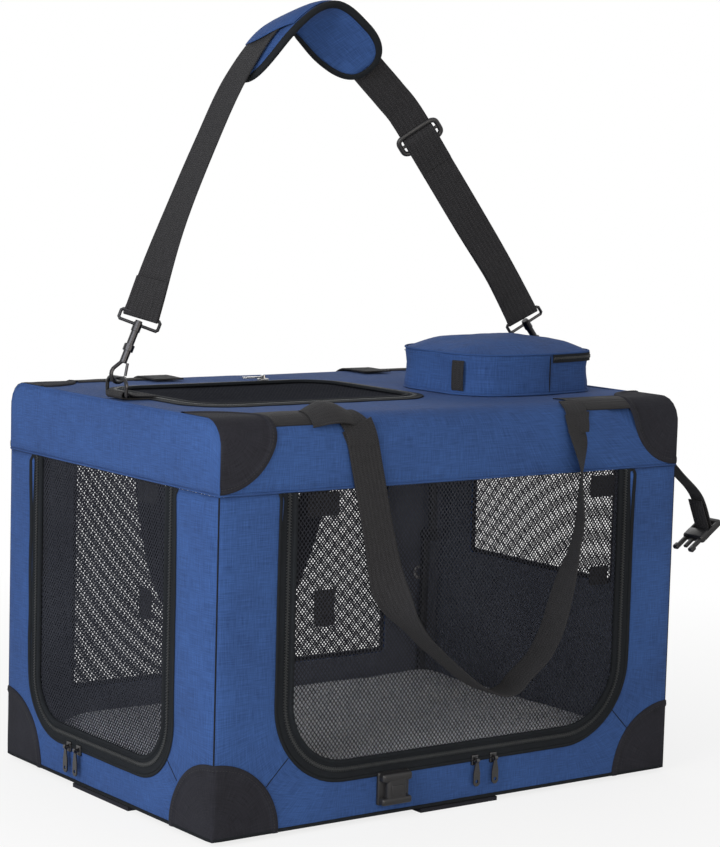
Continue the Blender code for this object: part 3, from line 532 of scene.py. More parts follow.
# %% The weave, the ribs and the stains
weave, weave_in, weave_out = new_group("plain_weave", {"Pitch": 0.0012, "Slub": 0.5}, ("Height", "Tone"))
u, v = split_uv(weave)
turn_u, turn_v = (wave(weave, sums(weave, "DIVIDE", way, weave_in.outputs["Pitch"])) for way in (u, v))
over = plus(weave, times(weave, times(weave, turn_u, turn_v), 0.5), 0.5)
weft = streaks(weave, u, v, 0.022, 0.0011)
warp = streaks(weave, v, u, 0.022, 0.0011)
slub = times(weave, plus(weave, weft, warp), 0.5)
weave.links.new(plus(weave, times(weave, over, 0.6), slub), weave_out.inputs["Height"])
shade = times(weave, sums(weave, "SUBTRACT", slub, 0.5), weave_in.outputs["Slub"])
soft_over = times(weave, sums(weave, "SUBTRACT", over, 0.5), 0.16)
tone = plus(weave, plus(weave, times(weave, shade, 3.2), 0.5), soft_over)
weave.links.new(tone, weave_out.inputs["Tone"])

ribs, ribs_in, ribs_out = new_group("webbing_ribs", {"Pitch": 0.0016}, ("Height", "Tone"))
u, v = split_uv(ribs)
slant = sums(ribs, "ABSOLUTE", sums(ribs, "SINE", times(ribs, v, 570.0)))
lean = plus(ribs, sums(ribs, "DIVIDE", u, ribs_in.outputs["Pitch"]), times(ribs, slant, 1.1))
rib = plus(ribs, times(ribs, wave(ribs, lean), 0.5), 0.5)
fray = streaks(ribs, u, v, 0.012, 0.0016)
ribs.links.new(plus(ribs, times(ribs, rib, 0.6), times(ribs, slant, 0.5)), ribs_out.inputs["Height"])
ribs.links.new(plus(ribs, times(ribs, rib, 0.55), times(ribs, fray, 0.5)), ribs_out.inputs["Tone"])

stain, stain_in, stain_out = new_group("slow_tone", {"Size": 0.09, "Fine": 0.004}, ("Wide", "Speck"))
place = node(stain, "TexCoord")
for title, output in (("Size", "Wide"), ("Fine", "Speck")):
    cloud = node(stain, "TexNoise")
    preset(cloud, {"Detail": 4.0})
    stain.links.new(place.outputs["Object"], cloud.inputs["Vector"])
    stain.links.new(sums(stain, "DIVIDE", 1.0, stain_in.outputs[title]), cloud.inputs["Scale"])
    stain.links.new(cloud.outputs["Fac"], stain_out.inputs[output])
print("groups:", [group.name for group in bpy.data.node_groups])

# %% [markdown]
# A finish mixes a dark and a light shade by the tone of its pattern, varies its roughness a little with the
# slow stains, and lifts the pattern with a bump. The same recipe serves cloth, webbing, metal and plastic
# with other numbers, so it is written once.


# %% The recipe of a finish
ROUGH_DRIFT = 0.06


def finish_of(name, dark, light, rough, pattern=None, values=(), bump=0.0, lift=0.0004, wide=0.25, metal=0.0,
              sheen=0.0, gloss=0.5):
    """Material from two shades, a pattern group and the slow stains."""
    paint = bpy.data.materials.new(name)
    paint.use_nodes = True
    tree = paint.node_tree
    shader = tree.nodes["Principled BSDF"]
    preset(shader, {"Metallic": metal, "Sheen Weight": sheen, "Sheen Roughness": 0.5,
                    "Specular IOR Level": gloss})
    slow = node(tree, "Group", node_tree=stain)
    if pattern:
        cloth = node(tree, "Group", node_tree=pattern)
        preset(cloth, dict(values))
        tone, height = cloth.outputs["Tone"], cloth.outputs["Height"]
    else:
        preset(slow, dict(values))
        tone = height = slow.outputs["Speck"]
    drift = times(tree, sums(tree, "SUBTRACT", slow.outputs["Wide"], 0.5), wide * 3)
    mix = node(tree, "Mix", data_type="RGBA")
    tree.links.new(plus(tree, tone, drift), mix.inputs["Factor"])
    mix.inputs["A"].default_value = (*dark, 1)
    mix.inputs["B"].default_value = (*light, 1)
    tree.links.new(mix.outputs["Result"], shader.inputs["Base Color"])
    grip = node(tree, "MapRange")
    tree.links.new(slow.outputs["Wide"], grip.inputs["Value"])
    preset(grip, {"From Min": 0.3, "From Max": 0.7, "To Min": rough - ROUGH_DRIFT,
                  "To Max": min(1.0, rough + ROUGH_DRIFT)})
    tree.links.new(grip.outputs["Result"], shader.inputs["Roughness"])
    if bump:
        relief = node(tree, "Bump")
        preset(relief, {"Strength": bump, "Distance": lift})
        tree.links.new(height, relief.inputs["Height"])
        tree.links.new(relief.outputs["Normal"], shader.inputs["Normal"])
    return paint


METAL_GRAIN = (("Size", 0.02), ("Fine", 0.0015))
blue_cloth = finish_of("blue_cloth", (0.017, 0.043, 0.138), (0.044, 0.108, 0.315), 0.85, weave,
                       (("Pitch", 0.0011), ("Slub", 0.55)), bump=0.55, sheen=0.03, gloss=0.16)
black_cloth = finish_of("black_cloth", (0.009, 0.009, 0.012), (0.032, 0.033, 0.043), 0.88, weave,
                        (("Pitch", 0.0009), ("Slub", 0.4)), bump=0.5, sheen=0.02, gloss=0.09)
lining = finish_of("lining", (0.075, 0.085, 0.120), (0.160, 0.180, 0.240), 0.9, weave,
                   (("Pitch", 0.0011), ("Slub", 0.4)), bump=0.4, gloss=0.15)
webbing = finish_of("webbing", (0.005, 0.005, 0.006), (0.036, 0.036, 0.040), 0.78, ribs, (("Pitch", 0.0030),),
                    bump=1.0, lift=0.0010, wide=0.12, sheen=0.03, gloss=0.2)
binding = finish_of("binding", (0.005, 0.006, 0.008), (0.017, 0.020, 0.024), 0.75, ribs, (("Pitch", 0.0012),),
                    bump=0.6, gloss=0.1)
net_thread = finish_of("net_thread", (0.012, 0.013, 0.018), (0.040, 0.043, 0.054), 0.90, gloss=0.06)
zip_teeth = finish_of("zip_teeth", (0.010, 0.012, 0.013), (0.036, 0.040, 0.044), 0.38, bump=0.1, gloss=0.45)
fleece = finish_of("fleece", (0.76, 0.80, 0.92), (0.93, 0.95, 0.99), 0.95, None,
                   (("Size", 0.05), ("Fine", 0.006)), bump=0.9, lift=0.003, sheen=0.3, gloss=0.2)
gunmetal = finish_of("gunmetal", (0.020, 0.020, 0.022), (0.065, 0.065, 0.070), 0.30, None,
                     METAL_GRAIN, bump=0.06, lift=0.0002, metal=1.0)
bright_metal = finish_of("bright_metal", (0.30, 0.30, 0.31), (0.56, 0.56, 0.56), 0.28, None,
                         METAL_GRAIN, bump=0.05, lift=0.0002, metal=1.0)
enamel = finish_of("black_enamel", (0.006, 0.006, 0.007), (0.020, 0.020, 0.022), 0.22, None,
                   METAL_GRAIN, bump=0.08, lift=0.0002, gloss=0.8)
washer_grey = finish_of("washer_grey", (0.30, 0.30, 0.32), (0.46, 0.46, 0.48), 0.5, gloss=0.4)
plastic = finish_of("moulded_plastic", (0.008, 0.008, 0.009), (0.022, 0.022, 0.024), 0.40, None,
                    (("Size", 0.04), ("Fine", 0.0012)), bump=0.12, lift=0.0002, gloss=0.4)
tube_steel = finish_of("tube_steel", (0.020, 0.021, 0.023), (0.060, 0.062, 0.066), 0.42, None,
                       (("Size", 0.05), ("Fine", 0.002)), bump=0.08, lift=0.0002, metal=0.6)
thread_blue = finish_of("thread_blue", (0.022, 0.050, 0.15), (0.046, 0.10, 0.27), 0.6, gloss=0.25)
thread_black = finish_of("thread_black", (0.010, 0.010, 0.011), (0.036, 0.036, 0.039), 0.6, gloss=0.25)
print("finishes:", len(bpy.data.materials))

# %% [markdown]
# ## The shell of the bag
# Every wall is drawn in its own plane: u to the right and v up, seen from outside. One small function for
# each wall turns that plane to its place, so all four share the same sewing. An opening is given by its
# sides, the radius of its corners and whether it runs up to the seam below the cap.


# %% Faces and openings
def front(u, v, w=0.0):
    """Point of the front wall, standing w out from it."""
    return (u, -HALF_W - w, v)


def rear(u, v, w=0.0):
    """Point of the rear wall, standing w out from it."""
    return (-u, HALF_W + w, v)


def left(u, v, w=0.0):
    """Point of the left wall, standing w out from it."""
    return (-HALF_L - w, -u, v)


def right(u, v, w=0.0):
    """Point of the right wall, standing w out from it."""
    return (HALF_L + w, u, v)


OPENINGS = {
    "front": (front, HALF_L, (-0.261, 0.270, 0.063, SEAM_Z), 0.095, True),
    "left": (left, HALF_W, (-0.179, 0.153, 0.057, SEAM_Z), 0.070, True),
    "rear": (rear, HALF_L, (-0.256, 0.258, 0.081, 0.392), 0.006, False),
    "right": (right, HALF_W, (-0.133, 0.167, 0.231, 0.392), 0.006, False),
}


print("openings:", list(OPENINGS))

# %% [markdown]
# Each wall is padded cloth sewn between its outer edge and the zip or window in it, so it swells a little
# in between and is pulled in at the seams. A flat board with a hole would miss that, so each point is
# pushed out by a swell that fades at both seams, with slow wrinkles added.

# %% Swell of the padding
SEWN_IN = 0.004


def crumple(u, v, w, finer, strength=0.5):
    """Slow wrinkles with finer ones on top; each scale is a triple of (u, v, seed)."""
    fine = noise.noise(Vector((u * finer[0], v * finer[1], finer[2])))
    return noise.noise(Vector((u * w[0], v * w[1], w[2]))) + strength * fine


def room(u, v, opening, radius):
    """Distance from a rounded opening."""
    a0, a1, b0, b1 = opening
    du = abs(u - (a0 + a1) / 2) - (a1 - a0) / 2 + radius
    dv = abs(v - (b0 + b1) / 2) - (b1 - b0) / 2 + radius
    return math.hypot(max(du, 0), max(dv, 0)) + min(max(du, dv), 0) - radius


def swell(side, u, v):
    """How far a padded wall stands out at a point."""
    _, half, (a0, a1, b0, b1), radius, open_top = OPENINGS[side]
    rim = max(0.0, min(half - abs(u), v - WALL_LOW, SEAM_Z - v))
    hole = max(0.0, room(u, v, (a0, a1, b0, b1 + (1.0 if open_top else 0.0)), radius))
    share = rim / max(rim + hole, 1e-6)
    hump = 1 - (2 * share - 1) ** 4
    high = min(1.0, max(0.0, (v - 0.07) / 0.09))
    wrinkle = crumple(u, v, (13, 17, len(side)), (34, 30, half * 40))
    sewn = min(1.0, max(0.0, half - abs(u)) / SEWN_IN)
    return hump * (0.0008 + 0.0028 * high + 0.0009 * wrinkle) - 0.0016 * (1 - sewn) ** 2


print("swell in the middle of the front's lower edge:", round(swell("front", 0.0, 0.035), 4), "m")

# %% [markdown]
# The skin of a wall runs in rings from its outer edge to its opening. The edge has sharp corners and the
# opening round ones, so both are walked round together and get the same number of points.


# %% Rings from edge to opening
def panel_loops(outer, opening, radius, open_top, step=0.008):
    """Outer edge and opening of a panel as two loops of matching points, from the upper left down."""
    u0, u1, v0, v1 = outer
    a0, a1, b0, b1 = opening
    edge, hole = [], []

    def straight(p, q, s, t):
        count = max(2, round(math.dist(s, t) / step))
        for i in range(count):
            edge.append(blend_points(p, q, i / count))
            hole.append(blend_points(s, t, i / count))

    def corner(p, tip, q, centre, start):
        count = max(6, 2 * round(radius * 0.785 / step))
        for i in range(count):
            k = 2 * i / count
            edge.append(blend_points(p, tip, k) if k < 1 else blend_points(tip, q, k - 1))
            turn = math.radians(start + 90 * i / count)
            hole.append((centre[0] + radius * math.cos(turn), centre[1] + radius * math.sin(turn)))

    top = v1 if open_top else b1 - radius
    straight((u0, top), (u0, b0 + radius), (a0, top), (a0, b0 + radius))
    corner((u0, b0 + radius), (u0, v0), (a0 + radius, v0), (a0 + radius, b0 + radius), 180)
    straight((a0 + radius, v0), (a1 - radius, v0), (a0 + radius, b0), (a1 - radius, b0))
    corner((a1 - radius, v0), (u1, v0), (u1, b0 + radius), (a1 - radius, b0 + radius), 270)
    straight((u1, b0 + radius), (u1, top), (a1, b0 + radius), (a1, top))
    if open_top:
        edge.append((u1, top))
        hole.append((a1, top))
    else:
        corner((u1, top), (u1, v1), (a1 - radius, v1), (a1 - radius, b1 - radius), 0)
        straight((a1 - radius, v1), (a0 + radius, v1), (a1 - radius, b1), (a0 + radius, b1))
        corner((a0 + radius, v1), (u0, v1), (u0, top), (a0 + radius, b1 - radius), 90)
    return edge, hole


walked, _ = panel_loops((-HALF_L, HALF_L, WALL_LOW, SEAM_Z), *OPENINGS["front"][2:])
print("points round the front wall:", len(walked))

# %% [markdown]
# The four walls are sewn from those rings, blue outside and lined inside.

# %% The four walls
RINGS = (0.0, 0.02, 0.06, 0.13, 0.23, 0.35, 0.48, 0.61, 0.73, 0.84, 0.92, 0.97, 1.0)
CLOTH_T = 0.0022


def lined(obj, depth, outside, inside):
    """Thickness with one cloth outside and another inside."""
    obj.data.materials.append(outside)
    obj.data.materials.append(inside)
    wall = obj.modifiers.new("lining", "SOLIDIFY")
    wall.thickness = depth
    wall.offset = -1.0
    wall.material_offset = 1
    return apply_modifiers(obj)


def folds_down(obj):
    """Give the piece its own copy of its mesh."""
    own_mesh(obj)
    return obj


for side, (face, half, opening, radius, open_top) in OPENINGS.items():
    edge, hole = panel_loops((-half, half, WALL_LOW, SEAM_Z), opening, radius, open_top)
    lines = []
    for share in RINGS:
        flat = [blend_points(p, q, share) for p, q in zip(edge, hole)]
        lines.append([face(u, v, swell(side, u, v)) for u, v in flat])
    wall = skin(side + "_wall_cloth", lines, closed=not open_top)
    lined(wall, CLOTH_T, blue_cloth, lining)
    dress(wall, None, "base", side + "_wall")
    folds_down(wall)
    print(wall.name, len(wall.data.polygons), "faces")

# %% [markdown]
# The cap closes the frame: one strip of cloth runs up the front, over the roof and down the back, and a
# flat panel with rounded upper corners is sewn in at each end. The strip is drawn flat, x along the bag and
# t along the cloth from the front seam, and wrapped over the rounded long edges. The roof door leaves an
# opening in it.

# %% The cap
BAND = TOP_Z - EDGE_R - SEAM_Z
BEND = EDGE_R * math.pi / 2
FLAT = 2 * (HALF_W - EDGE_R)
STRIP = 2 * (BAND + BEND) + FLAT
ROOF_DOOR = (-0.300, 0.052, -0.128, 0.128)
ROOF_DOOR_R = 0.060


def over_roof(x, t, w=0.0):
    """Point of the wrapped strip, standing w out from it."""
    back = t > STRIP / 2
    s = STRIP - t if back else t
    if s < BAND:
        y, z = HALF_W + w, SEAM_Z + s
    elif s < BAND + BEND:
        turn = (s - BAND) / EDGE_R
        y = HALF_W - EDGE_R + (EDGE_R + w) * math.cos(turn)
        z = TOP_Z - EDGE_R + (EDGE_R + w) * math.sin(turn)
    else:
        y, z = HALF_W - EDGE_R - (s - BAND - BEND), TOP_Z + w
    return (x, y if back else -y, z)


def cap_swell(x, t):
    """Soft unevenness of the cap: fuller on the bands, a little slack on the roof."""
    s = min(t, STRIP - t)
    band = math.sin(math.pi * min(1.0, s / (BAND + BEND)))
    wrinkle = crumple(x, t, (11, 16, 3.7), (31, 27, 8.1))
    sewn = min(1.0, (HALF_L - abs(x)) / SEWN_IN)
    return 0.0016 * band + 0.0007 * wrinkle * min(1.0, s / 0.012) * sewn - 0.0014 * (1 - sewn) ** 2


def on_cap(x, t, side, lift):
    """Point on the swollen cap, t up from the seam of the front or the rear."""
    return over_roof(x, t if side < 0 else STRIP - t, max(0.0, cap_swell(x, t)) + lift)


edge, hole = panel_loops((-HALF_L, HALF_L, 0.0, STRIP),
                         (ROOF_DOOR[0], ROOF_DOOR[1], STRIP / 2 + ROOF_DOOR[2], STRIP / 2 + ROOF_DOOR[3]),
                         ROOF_DOOR_R, False)
lines = []
for share in span(0, 1, 40):
    flat = [blend_points(p, q, share) for p, q in zip(edge, hole)]
    lines.append([over_roof(x, t, cap_swell(x, t)) for x, t in flat])
cap = skin("cap_strip", lines, closed=True)
lined(cap, CLOTH_T, blue_cloth, lining)

ends = [cap]
for side, face in (("left", left), ("right", right)):
    columns = [-HALF_W + EDGE_R * (1 - math.cos(math.radians(a))) for a in range(0, 91, 9)]
    columns += [-HALF_W + EDGE_R + FLAT * i / 48 for i in range(1, 48)]
    columns += [-u for u in columns[10::-1]]
    lines = []
    for share in span(0, 1, 12):
        line = []
        for u in columns:
            past = max(0.0, abs(u) - HALF_W + EDGE_R)
            top = TOP_Z - EDGE_R + math.sqrt(max(0.0, EDGE_R ** 2 - past ** 2))
            v = SEAM_Z + (top - SEAM_Z) * share
            inner = min(top - v, v - SEAM_Z, HALF_W - abs(u))
            deep = max(0.0, inner)
            puff = 0.0022 * (1 - math.exp(-deep / 0.012)) - 0.0006 * math.exp(-deep / 0.0015)
            wrinkle = noise.noise(Vector((u * 13, v * 21, HALF_W * 9))) * min(1.0, inner / 0.02)
            line.append(face(u, v, puff + 0.0007 * wrinkle))
        lines.append(line)
    end = skin(side + "_cap_end", lines)
    lined(end, CLOTH_T, blue_cloth, lining)
    ends.append(end)
cap = join("cap_cloth", ends)
dress(cap, None, "top", "top_panel")
print("cap:", len(cap.data.polygons), "faces, strip", round(STRIP, 3), "m")

# %% [markdown]
# Seams: the vertical edges show a thin dark cord, the ends of the cap a blue one and the bottom edges a
# rounded black binding. A line in the material would vanish at the outline of the bag, so each is a tube
# along its edge, sunk a little into the cloth.

# %% Seam cords and bottom binding
SEAM_CORD_R, SEAM_SUNK = 0.0011, 0.0010
CAP_CORD_R, CAP_SUNK = 0.0013, 0.0008
BINDING_R, BOTTOM_R = 0.0024, 0.006


def corner_name(sx, sy):
    """Name of the corner on these sides of the bag."""
    return f"{'rear' if sy > 0 else 'front'}_{'right' if sx > 0 else 'left'}"


for sx in (-1, 1):
    for sy in (-1, 1):
        name = corner_name(sx, sy)
        at = (sx * (HALF_L - SEAM_SUNK), sy * (HALF_W - SEAM_SUNK))
        cord = tube("edge_seam_" + name, [(*at, z) for z in span(WALL_LOW, SEAM_Z, 20)], SEAM_CORD_R)
        folds_down(dress(cord, binding, "base"))
    cord = tube("cap_seam_" + ("right" if sx > 0 else "left"),
                [over_roof(sx * (HALF_L - CAP_SUNK), t, -0.0004) for t in span(0, STRIP, 120)], CAP_CORD_R)
    dress(cord, blue_cloth, "top")

bottom = []
for cx, cy, start in ((1, 1, 0), (-1, 1, 90), (-1, -1, 180), (1, -1, 270)):
    for a in range(0, 91, 15):
        turn = math.radians(start + a)
        bottom.append((cx * (HALF_L - BOTTOM_R) + BOTTOM_R * math.cos(turn),
                       cy * (HALF_W - BOTTOM_R) + BOTTOM_R * math.sin(turn), WALL_LOW + 0.0022))
dress(tube("bottom_binding", bottom, BINDING_R, closed=True), binding, "base")
print("seam cords and bottom binding sewn")

# %% [markdown]
# The lower edge of the cap is turned under, which shows as a thin ridge with a row of stitches above it.
# The ridge is a tube round the whole bag, and the stitches are modelled grains, because they catch the
# light.

# %% Hem and turned edge
HEM, HEM_END = 0.0075, 0.004
hem = []
for y, t in ((-1, HEM), (1, STRIP - HEM)):
    path = [over_roof(x, t, 0.0008) for x in span(-HALF_L + HEM_END, HALF_L - HEM_END, 60)]
    hem.append(stitches("hem", path, (0, y, 0)))
for x, face in ((-1, left), (1, right)):
    path = [face(u, SEAM_Z + HEM, 0.0012) for u in span(-HALF_W + HEM_END, HALF_W - HEM_END, 40)]
    hem.append(stitches("hem", path, (x, 0, 0)))
dress(join("cap_hem_stitches", hem), thread_blue, "top")

LEDGE, LEDGE_OUT, LEDGE_R = 0.0016, 0.0006, 0.0011
ledge = [over_roof(x, LEDGE, LEDGE_OUT) for x in span(-HALF_L, HALF_L, 60)]
ledge += [right(u, SEAM_Z + LEDGE, LEDGE_OUT) for u in span(-HALF_W, HALF_W, 40)[1:]]
ledge += [over_roof(x, STRIP - LEDGE, LEDGE_OUT) for x in span(HALF_L, -HALF_L, 60)[1:]]
ledge += [left(u, SEAM_Z + LEDGE, LEDGE_OUT) for u in span(-HALF_W, HALF_W, 40)[1:-1]]
dress(tube("cap_turned_edge", ledge, LEDGE_R, closed=True), blue_cloth, "top")
print("hem of the cap sewn")

# %% [markdown]
# Short mitre seams run out from the lower corners of the doors. They are thin cords that follow the swell
# of the wall. A grey eyelet sits inside the rear wall: a torus, turned upright.

# %% Mitre seams and eyelet
MITRE_R = 0.0006
EYELET_AT, EYELET_R, EYELET_WIRE = (0.314, HALF_W - 0.0042, 0.1925), 0.0080, 0.0021
MITRES = {"front": ((-0.247, 0.093, -0.278, 0.062), (0.256, 0.093, 0.287, 0.062)),
          "left": ((0.137, 0.092, 0.169, 0.062),)}
for side, lines in MITRES.items():
    face = OPENINGS[side][0]
    for k, (u0, v0, u1, v1) in enumerate(lines):
        path = [blend_points((u0, v0), (u1, v1), share) for share in span(0, 1, 12)]
        path = [face(u, v, swell(side, u, v) - 0.0001) for u, v in path]
        cord = tube(f"{side}_mitre_{k}", path, MITRE_R)
        folds_down(dress(cord, binding, "base"))

deselect()
bpy.ops.mesh.primitive_torus_add(location=EYELET_AT, rotation=(math.pi / 2, 0, 0), major_radius=EYELET_R,
                                 minor_radius=EYELET_WIRE, major_segments=32, minor_segments=10)
eyelet = bpy.context.object
eyelet.name = eyelet.data.name = "rear_eyelet"
bpy.ops.object.transform_apply(location=True, rotation=True, scale=False)
bpy.ops.object.shade_smooth()
folds_down(dress(eyelet, washer_grey, "base"))
print("mitre seams and eyelet in place")

# %% [markdown]
# Black patches guard the eight corners. The lower ones are half discs wrapped round the vertical edges, the
# upper ones are half discs laid over the rounded long edges. Both are drawn flat in rings, wrapped like the
# cloth below, and get a raised bound rim with stitches.

# %% Corner patches
LOW_R, TOP_R, RIM = 0.090, 0.078, 0.009
RIM_SEWN, RIM_LIFT = 0.003, 0.0026
PATCH_RINGS = [0.0005, 0.12, 0.25, 0.38, 0.5, 0.6, 0.7, 0.78, 0.85]


def rings_of(radius):
    """Ring radii of a patch with its bound rim, and the lift of each."""
    inner = [(radius * r, 0.0014) for r in PATCH_RINGS]
    rim = [(radius - RIM - 0.0006, 0.0014), (radius - RIM, 0.0017), (radius - RIM + 0.0012, 0.0024),
           (radius - 0.0045, 0.0026), (radius - 0.0012, 0.0023), (radius - 0.0002, 0.0014), (radius, 0.0)]
    return [pair for pair in inner if pair[0] < radius - RIM - 0.001] + rim


def round_edge(sx, sy, a, v, lift):
    """Point at distance a round a vertical edge, on the front or rear where a is positive."""
    turn_r = 0.0035
    quarter = turn_r * math.pi / 4
    long_side = "rear" if sy > 0 else "front"
    end_side = "right" if sx > 0 else "left"
    if a > quarter:
        x = HALF_L - turn_r - (a - quarter)
        u = sx * x if sy < 0 else -sx * x
        return (sx * x, sy * (HALF_W + max(0.0, swell(long_side, u, v)) + lift), v)
    if a < -quarter:
        y = HALF_W - turn_r - (-a - quarter)
        u = sy * y if sx > 0 else -sy * y
        return (sx * (HALF_L + max(0.0, swell(end_side, u, v)) + lift), sy * y, v)
    turn = math.pi / 4 * (1 + a / quarter)
    return (sx * (HALF_L - turn_r + (turn_r + lift) * math.cos(turn)),
            sy * (HALF_W - turn_r + (turn_r + lift) * math.sin(turn)), v)


def edge_out(p):
    """Level direction away from the middle of the bag, turned towards the long sides."""
    way = (p[0], p[1] * 1.4, 0)
    return way / np.linalg.norm(way)


def bound_patch(patch, row, out):
    """Patch of black cloth with the stitches of its rim."""
    sewn = coloured(stitches("sewn", row, out), thread_black)
    return join(patch.name, [coloured(patch, black_cloth), sewn])


for sx in (-1, 1):
    for sy in (-1, 1):
        name = corner_name(sx, sy)
        angles = [math.radians(a) for a in span(0, 180, 72)]
        if sx * sy > 0:
            angles.reverse()
        lines = [[round_edge(sx, sy, r * math.cos(a), WALL_LOW + r * math.sin(a), lift) for a in angles]
                 for r, lift in reversed(rings_of(LOW_R))]
        patch = skin("low_patch_cloth_" + name, lines)
        r = LOW_R - RIM + RIM_SEWN
        row = [round_edge(sx, sy, r * math.cos(a), WALL_LOW + r * math.sin(a), RIM_LIFT) for a in angles]
        patch = bound_patch(patch, row, edge_out)
        folds_down(dress(patch, None, "base", "low_patch_" + name))

        middle = BAND + BEND / 2
        angles = [a - math.pi / 2 for a in angles]
        lines = [[on_cap(sx * (HALF_L - r * math.cos(a)), middle + r * math.sin(a), sy, lift) for a in angles]
                 for r, lift in reversed(rings_of(TOP_R))]
        patch = skin("top_patch_cloth_" + name, lines)
        r = TOP_R - RIM + RIM_SEWN
        row = [on_cap(sx * (HALF_L - r * math.cos(a)), middle + r * math.sin(a), sy, RIM_LIFT)
               for a in angles]
        patch = bound_patch(patch, row, (0, 0.7 * sy, 0.7))
        dress(patch, None, "top", "top_patch_" + name)
print("eight corner patches sewn on")

# %% [markdown]
# ## Nets and zips
# The doors and windows are black net, so the inside and the light behind show through it. A see-through
# picture would be lighter, but real threads keep their shape close up. One diamond cell is inset to a ring,
# its middle is deleted, and the Array modifier repeats a pair of cells over the field and merges them. The
# field is then trimmed to the outline of its door and set into its plane with a little sag.


# %% Net of diamond cells
def roof(u, v, w=0.0):
    """Point of the flat roof, standing w out from it."""
    return (u, v, TOP_Z + w)


MESH = {"front": (0.0055, 0.0069, 0.00063), "left": (0.0055, 0.0069, 0.00096),
        "top": (0.0055, 0.0069, 0.00092), "rear": (0.0053, 0.0059, 0.00105),
        "right": (0.0053, 0.0059, 0.00092)}
THREAD_DEEP, ROOF_THREAD_DEEP = -0.0005, -0.0011
INTO_SEAM = 0.004


def net(name, opening, radius, face, sag, hangs=False):
    """Net that fills an opening and sags towards the inside; a hanging one has square upper corners."""
    a0, a1, b0, b1 = opening
    across, up_way, thread = MESH[name.split("_")[0]]
    deselect()
    pair = []
    for at in ((0, 0), (across / 2, up_way / 2)):
        corner = (a0 + at[0], b0 + at[1], 0)
        bpy.ops.mesh.primitive_circle_add(vertices=4, radius=0.5, fill_type="NGON", location=corner)
        cell = bpy.context.object
        cell.scale = (across, up_way, 1)
        bpy.ops.object.transform_apply(location=True, rotation=False, scale=True)
        depth = ROOF_THREAD_DEEP if face is roof else THREAD_DEEP
        pair.append(edited(cell, (bpy.ops.mesh.inset, {"thickness": thread, "depth": depth}),
                           (bpy.ops.mesh.delete, {"type": "FACE"})))
    obj = join(name, pair)
    columns, rows = int((a1 - a0) / across) + 2, int((b1 - b0) / up_way) + 3
    for count, step in ((columns, (across, 0, 0)), (rows, (0, up_way, 0))):
        array = obj.modifiers.new("repeat", "ARRAY")
        array.count = count
        array.use_relative_offset = False
        array.use_constant_offset = True
        array.constant_offset_displace = step
        array.use_merge_vertices = True
        array.merge_threshold = across * 0.05
    apply_modifiers(obj)
    middle = ((a0 + a1) / 2, (b0 + b1) / 2)
    mesh = bmesh.new()
    mesh.from_mesh(obj.data)
    outline = (a0, a1, b0, b1 + 1.0) if hangs else opening
    highest = b1 + (INTO_SEAM if hangs else 0)
    outside = [p for p in mesh.verts if room(p.co.x, p.co.y, outline, radius) > 0 or p.co.y > highest]
    bmesh.ops.delete(mesh, geom=outside, context="VERTS")
    for p in mesh.verts:
        u, v = p.co.x, p.co.y
        deep = max(0.0, 1 - ((u - middle[0]) / (a1 - a0) * 2) ** 2)
        deep *= max(0.0, 1 - ((v - middle[1]) / (b1 - b0) * 2) ** 2)
        ripple = 0.0006 * noise.noise(Vector((u * 22, v * 22, sag * 900)))
        p.co = face(u, v, p.co.z - 0.0006 - sag * deep + ripple * deep)
    mesh.to_mesh(obj.data)
    mesh.free()
    pick(obj)
    bpy.ops.object.shade_smooth()
    return obj


print("nets to cut:", list(MESH))

# %% [markdown]
# Round each net runs its zip: flat tape, two rows of small teeth and a bound rim that holds the net. The
# tape is a skin over loops that step inwards from the outline of the door, each with its own height. The
# hanging doors are sewn into the seam above, so their zip is a U. The teeth are bevelled blocks laid along
# the loop in turn left and right.

# %% Zip bands
TAPE = ((-0.0045, 0.0004), (-0.0038, 0.0016), (0.0030, 0.0018), (0.0044, 0.0013), (0.0092, 0.0013),
        (0.0106, 0.0018), (0.0128, 0.0018), (0.0136, 0.0028), (0.0148, 0.0034), (0.0172, 0.0034),
        (0.0182, 0.0026), (0.0186, 0.0002))
TEETH_AT, TEETH_PITCH, TEETH_LIFT = 0.0068, 0.0017, 0.0019
TOOTH, TOOTH_EDGE, TOOTH_STEP = (0.0012, 0.0034, 0.0016), 0.0003, 0.0009
TAPE_T = 0.0012


def door_loop(opening, radius, inset, hangs=False):
    """Outline of a door, so far inside its edge: a closed loop, or a U that is open at the top."""
    a0, a1, b0, b1 = opening
    a0, a1, b0 = a0 + inset, a1 - inset, b0 + inset
    b1 = b1 if hangs else b1 - inset
    r = max(radius - inset, 0.004)
    corners = [(a0 + r, b0 + r, 180), (a1 - r, b0 + r, 270)]
    corners += [] if hangs else [(a1 - r, b1 - r, 0), (a0 + r, b1 - r, 90)]
    loop = [(a0, b1)] if hangs else []
    bends = []
    for cu, cv, start in corners:
        for i in range(19):
            turn = math.radians(start + 5 * i)
            loop.append((cu + r * math.cos(turn), cv + r * math.sin(turn)))
        bends.append(len(loop) - 1)
    if hangs:
        bends.append(0)
        loop.append((a1, b1))
    whole = []
    for i, p in enumerate(loop[:-1] if hangs else loop):
        q = loop[(i + 1) % len(loop)]
        count = 40 if i in bends else 1
        whole += [blend_points(p, q, k / count) for k in range(count)]
    return whole + loop[-1:] if hangs else whole


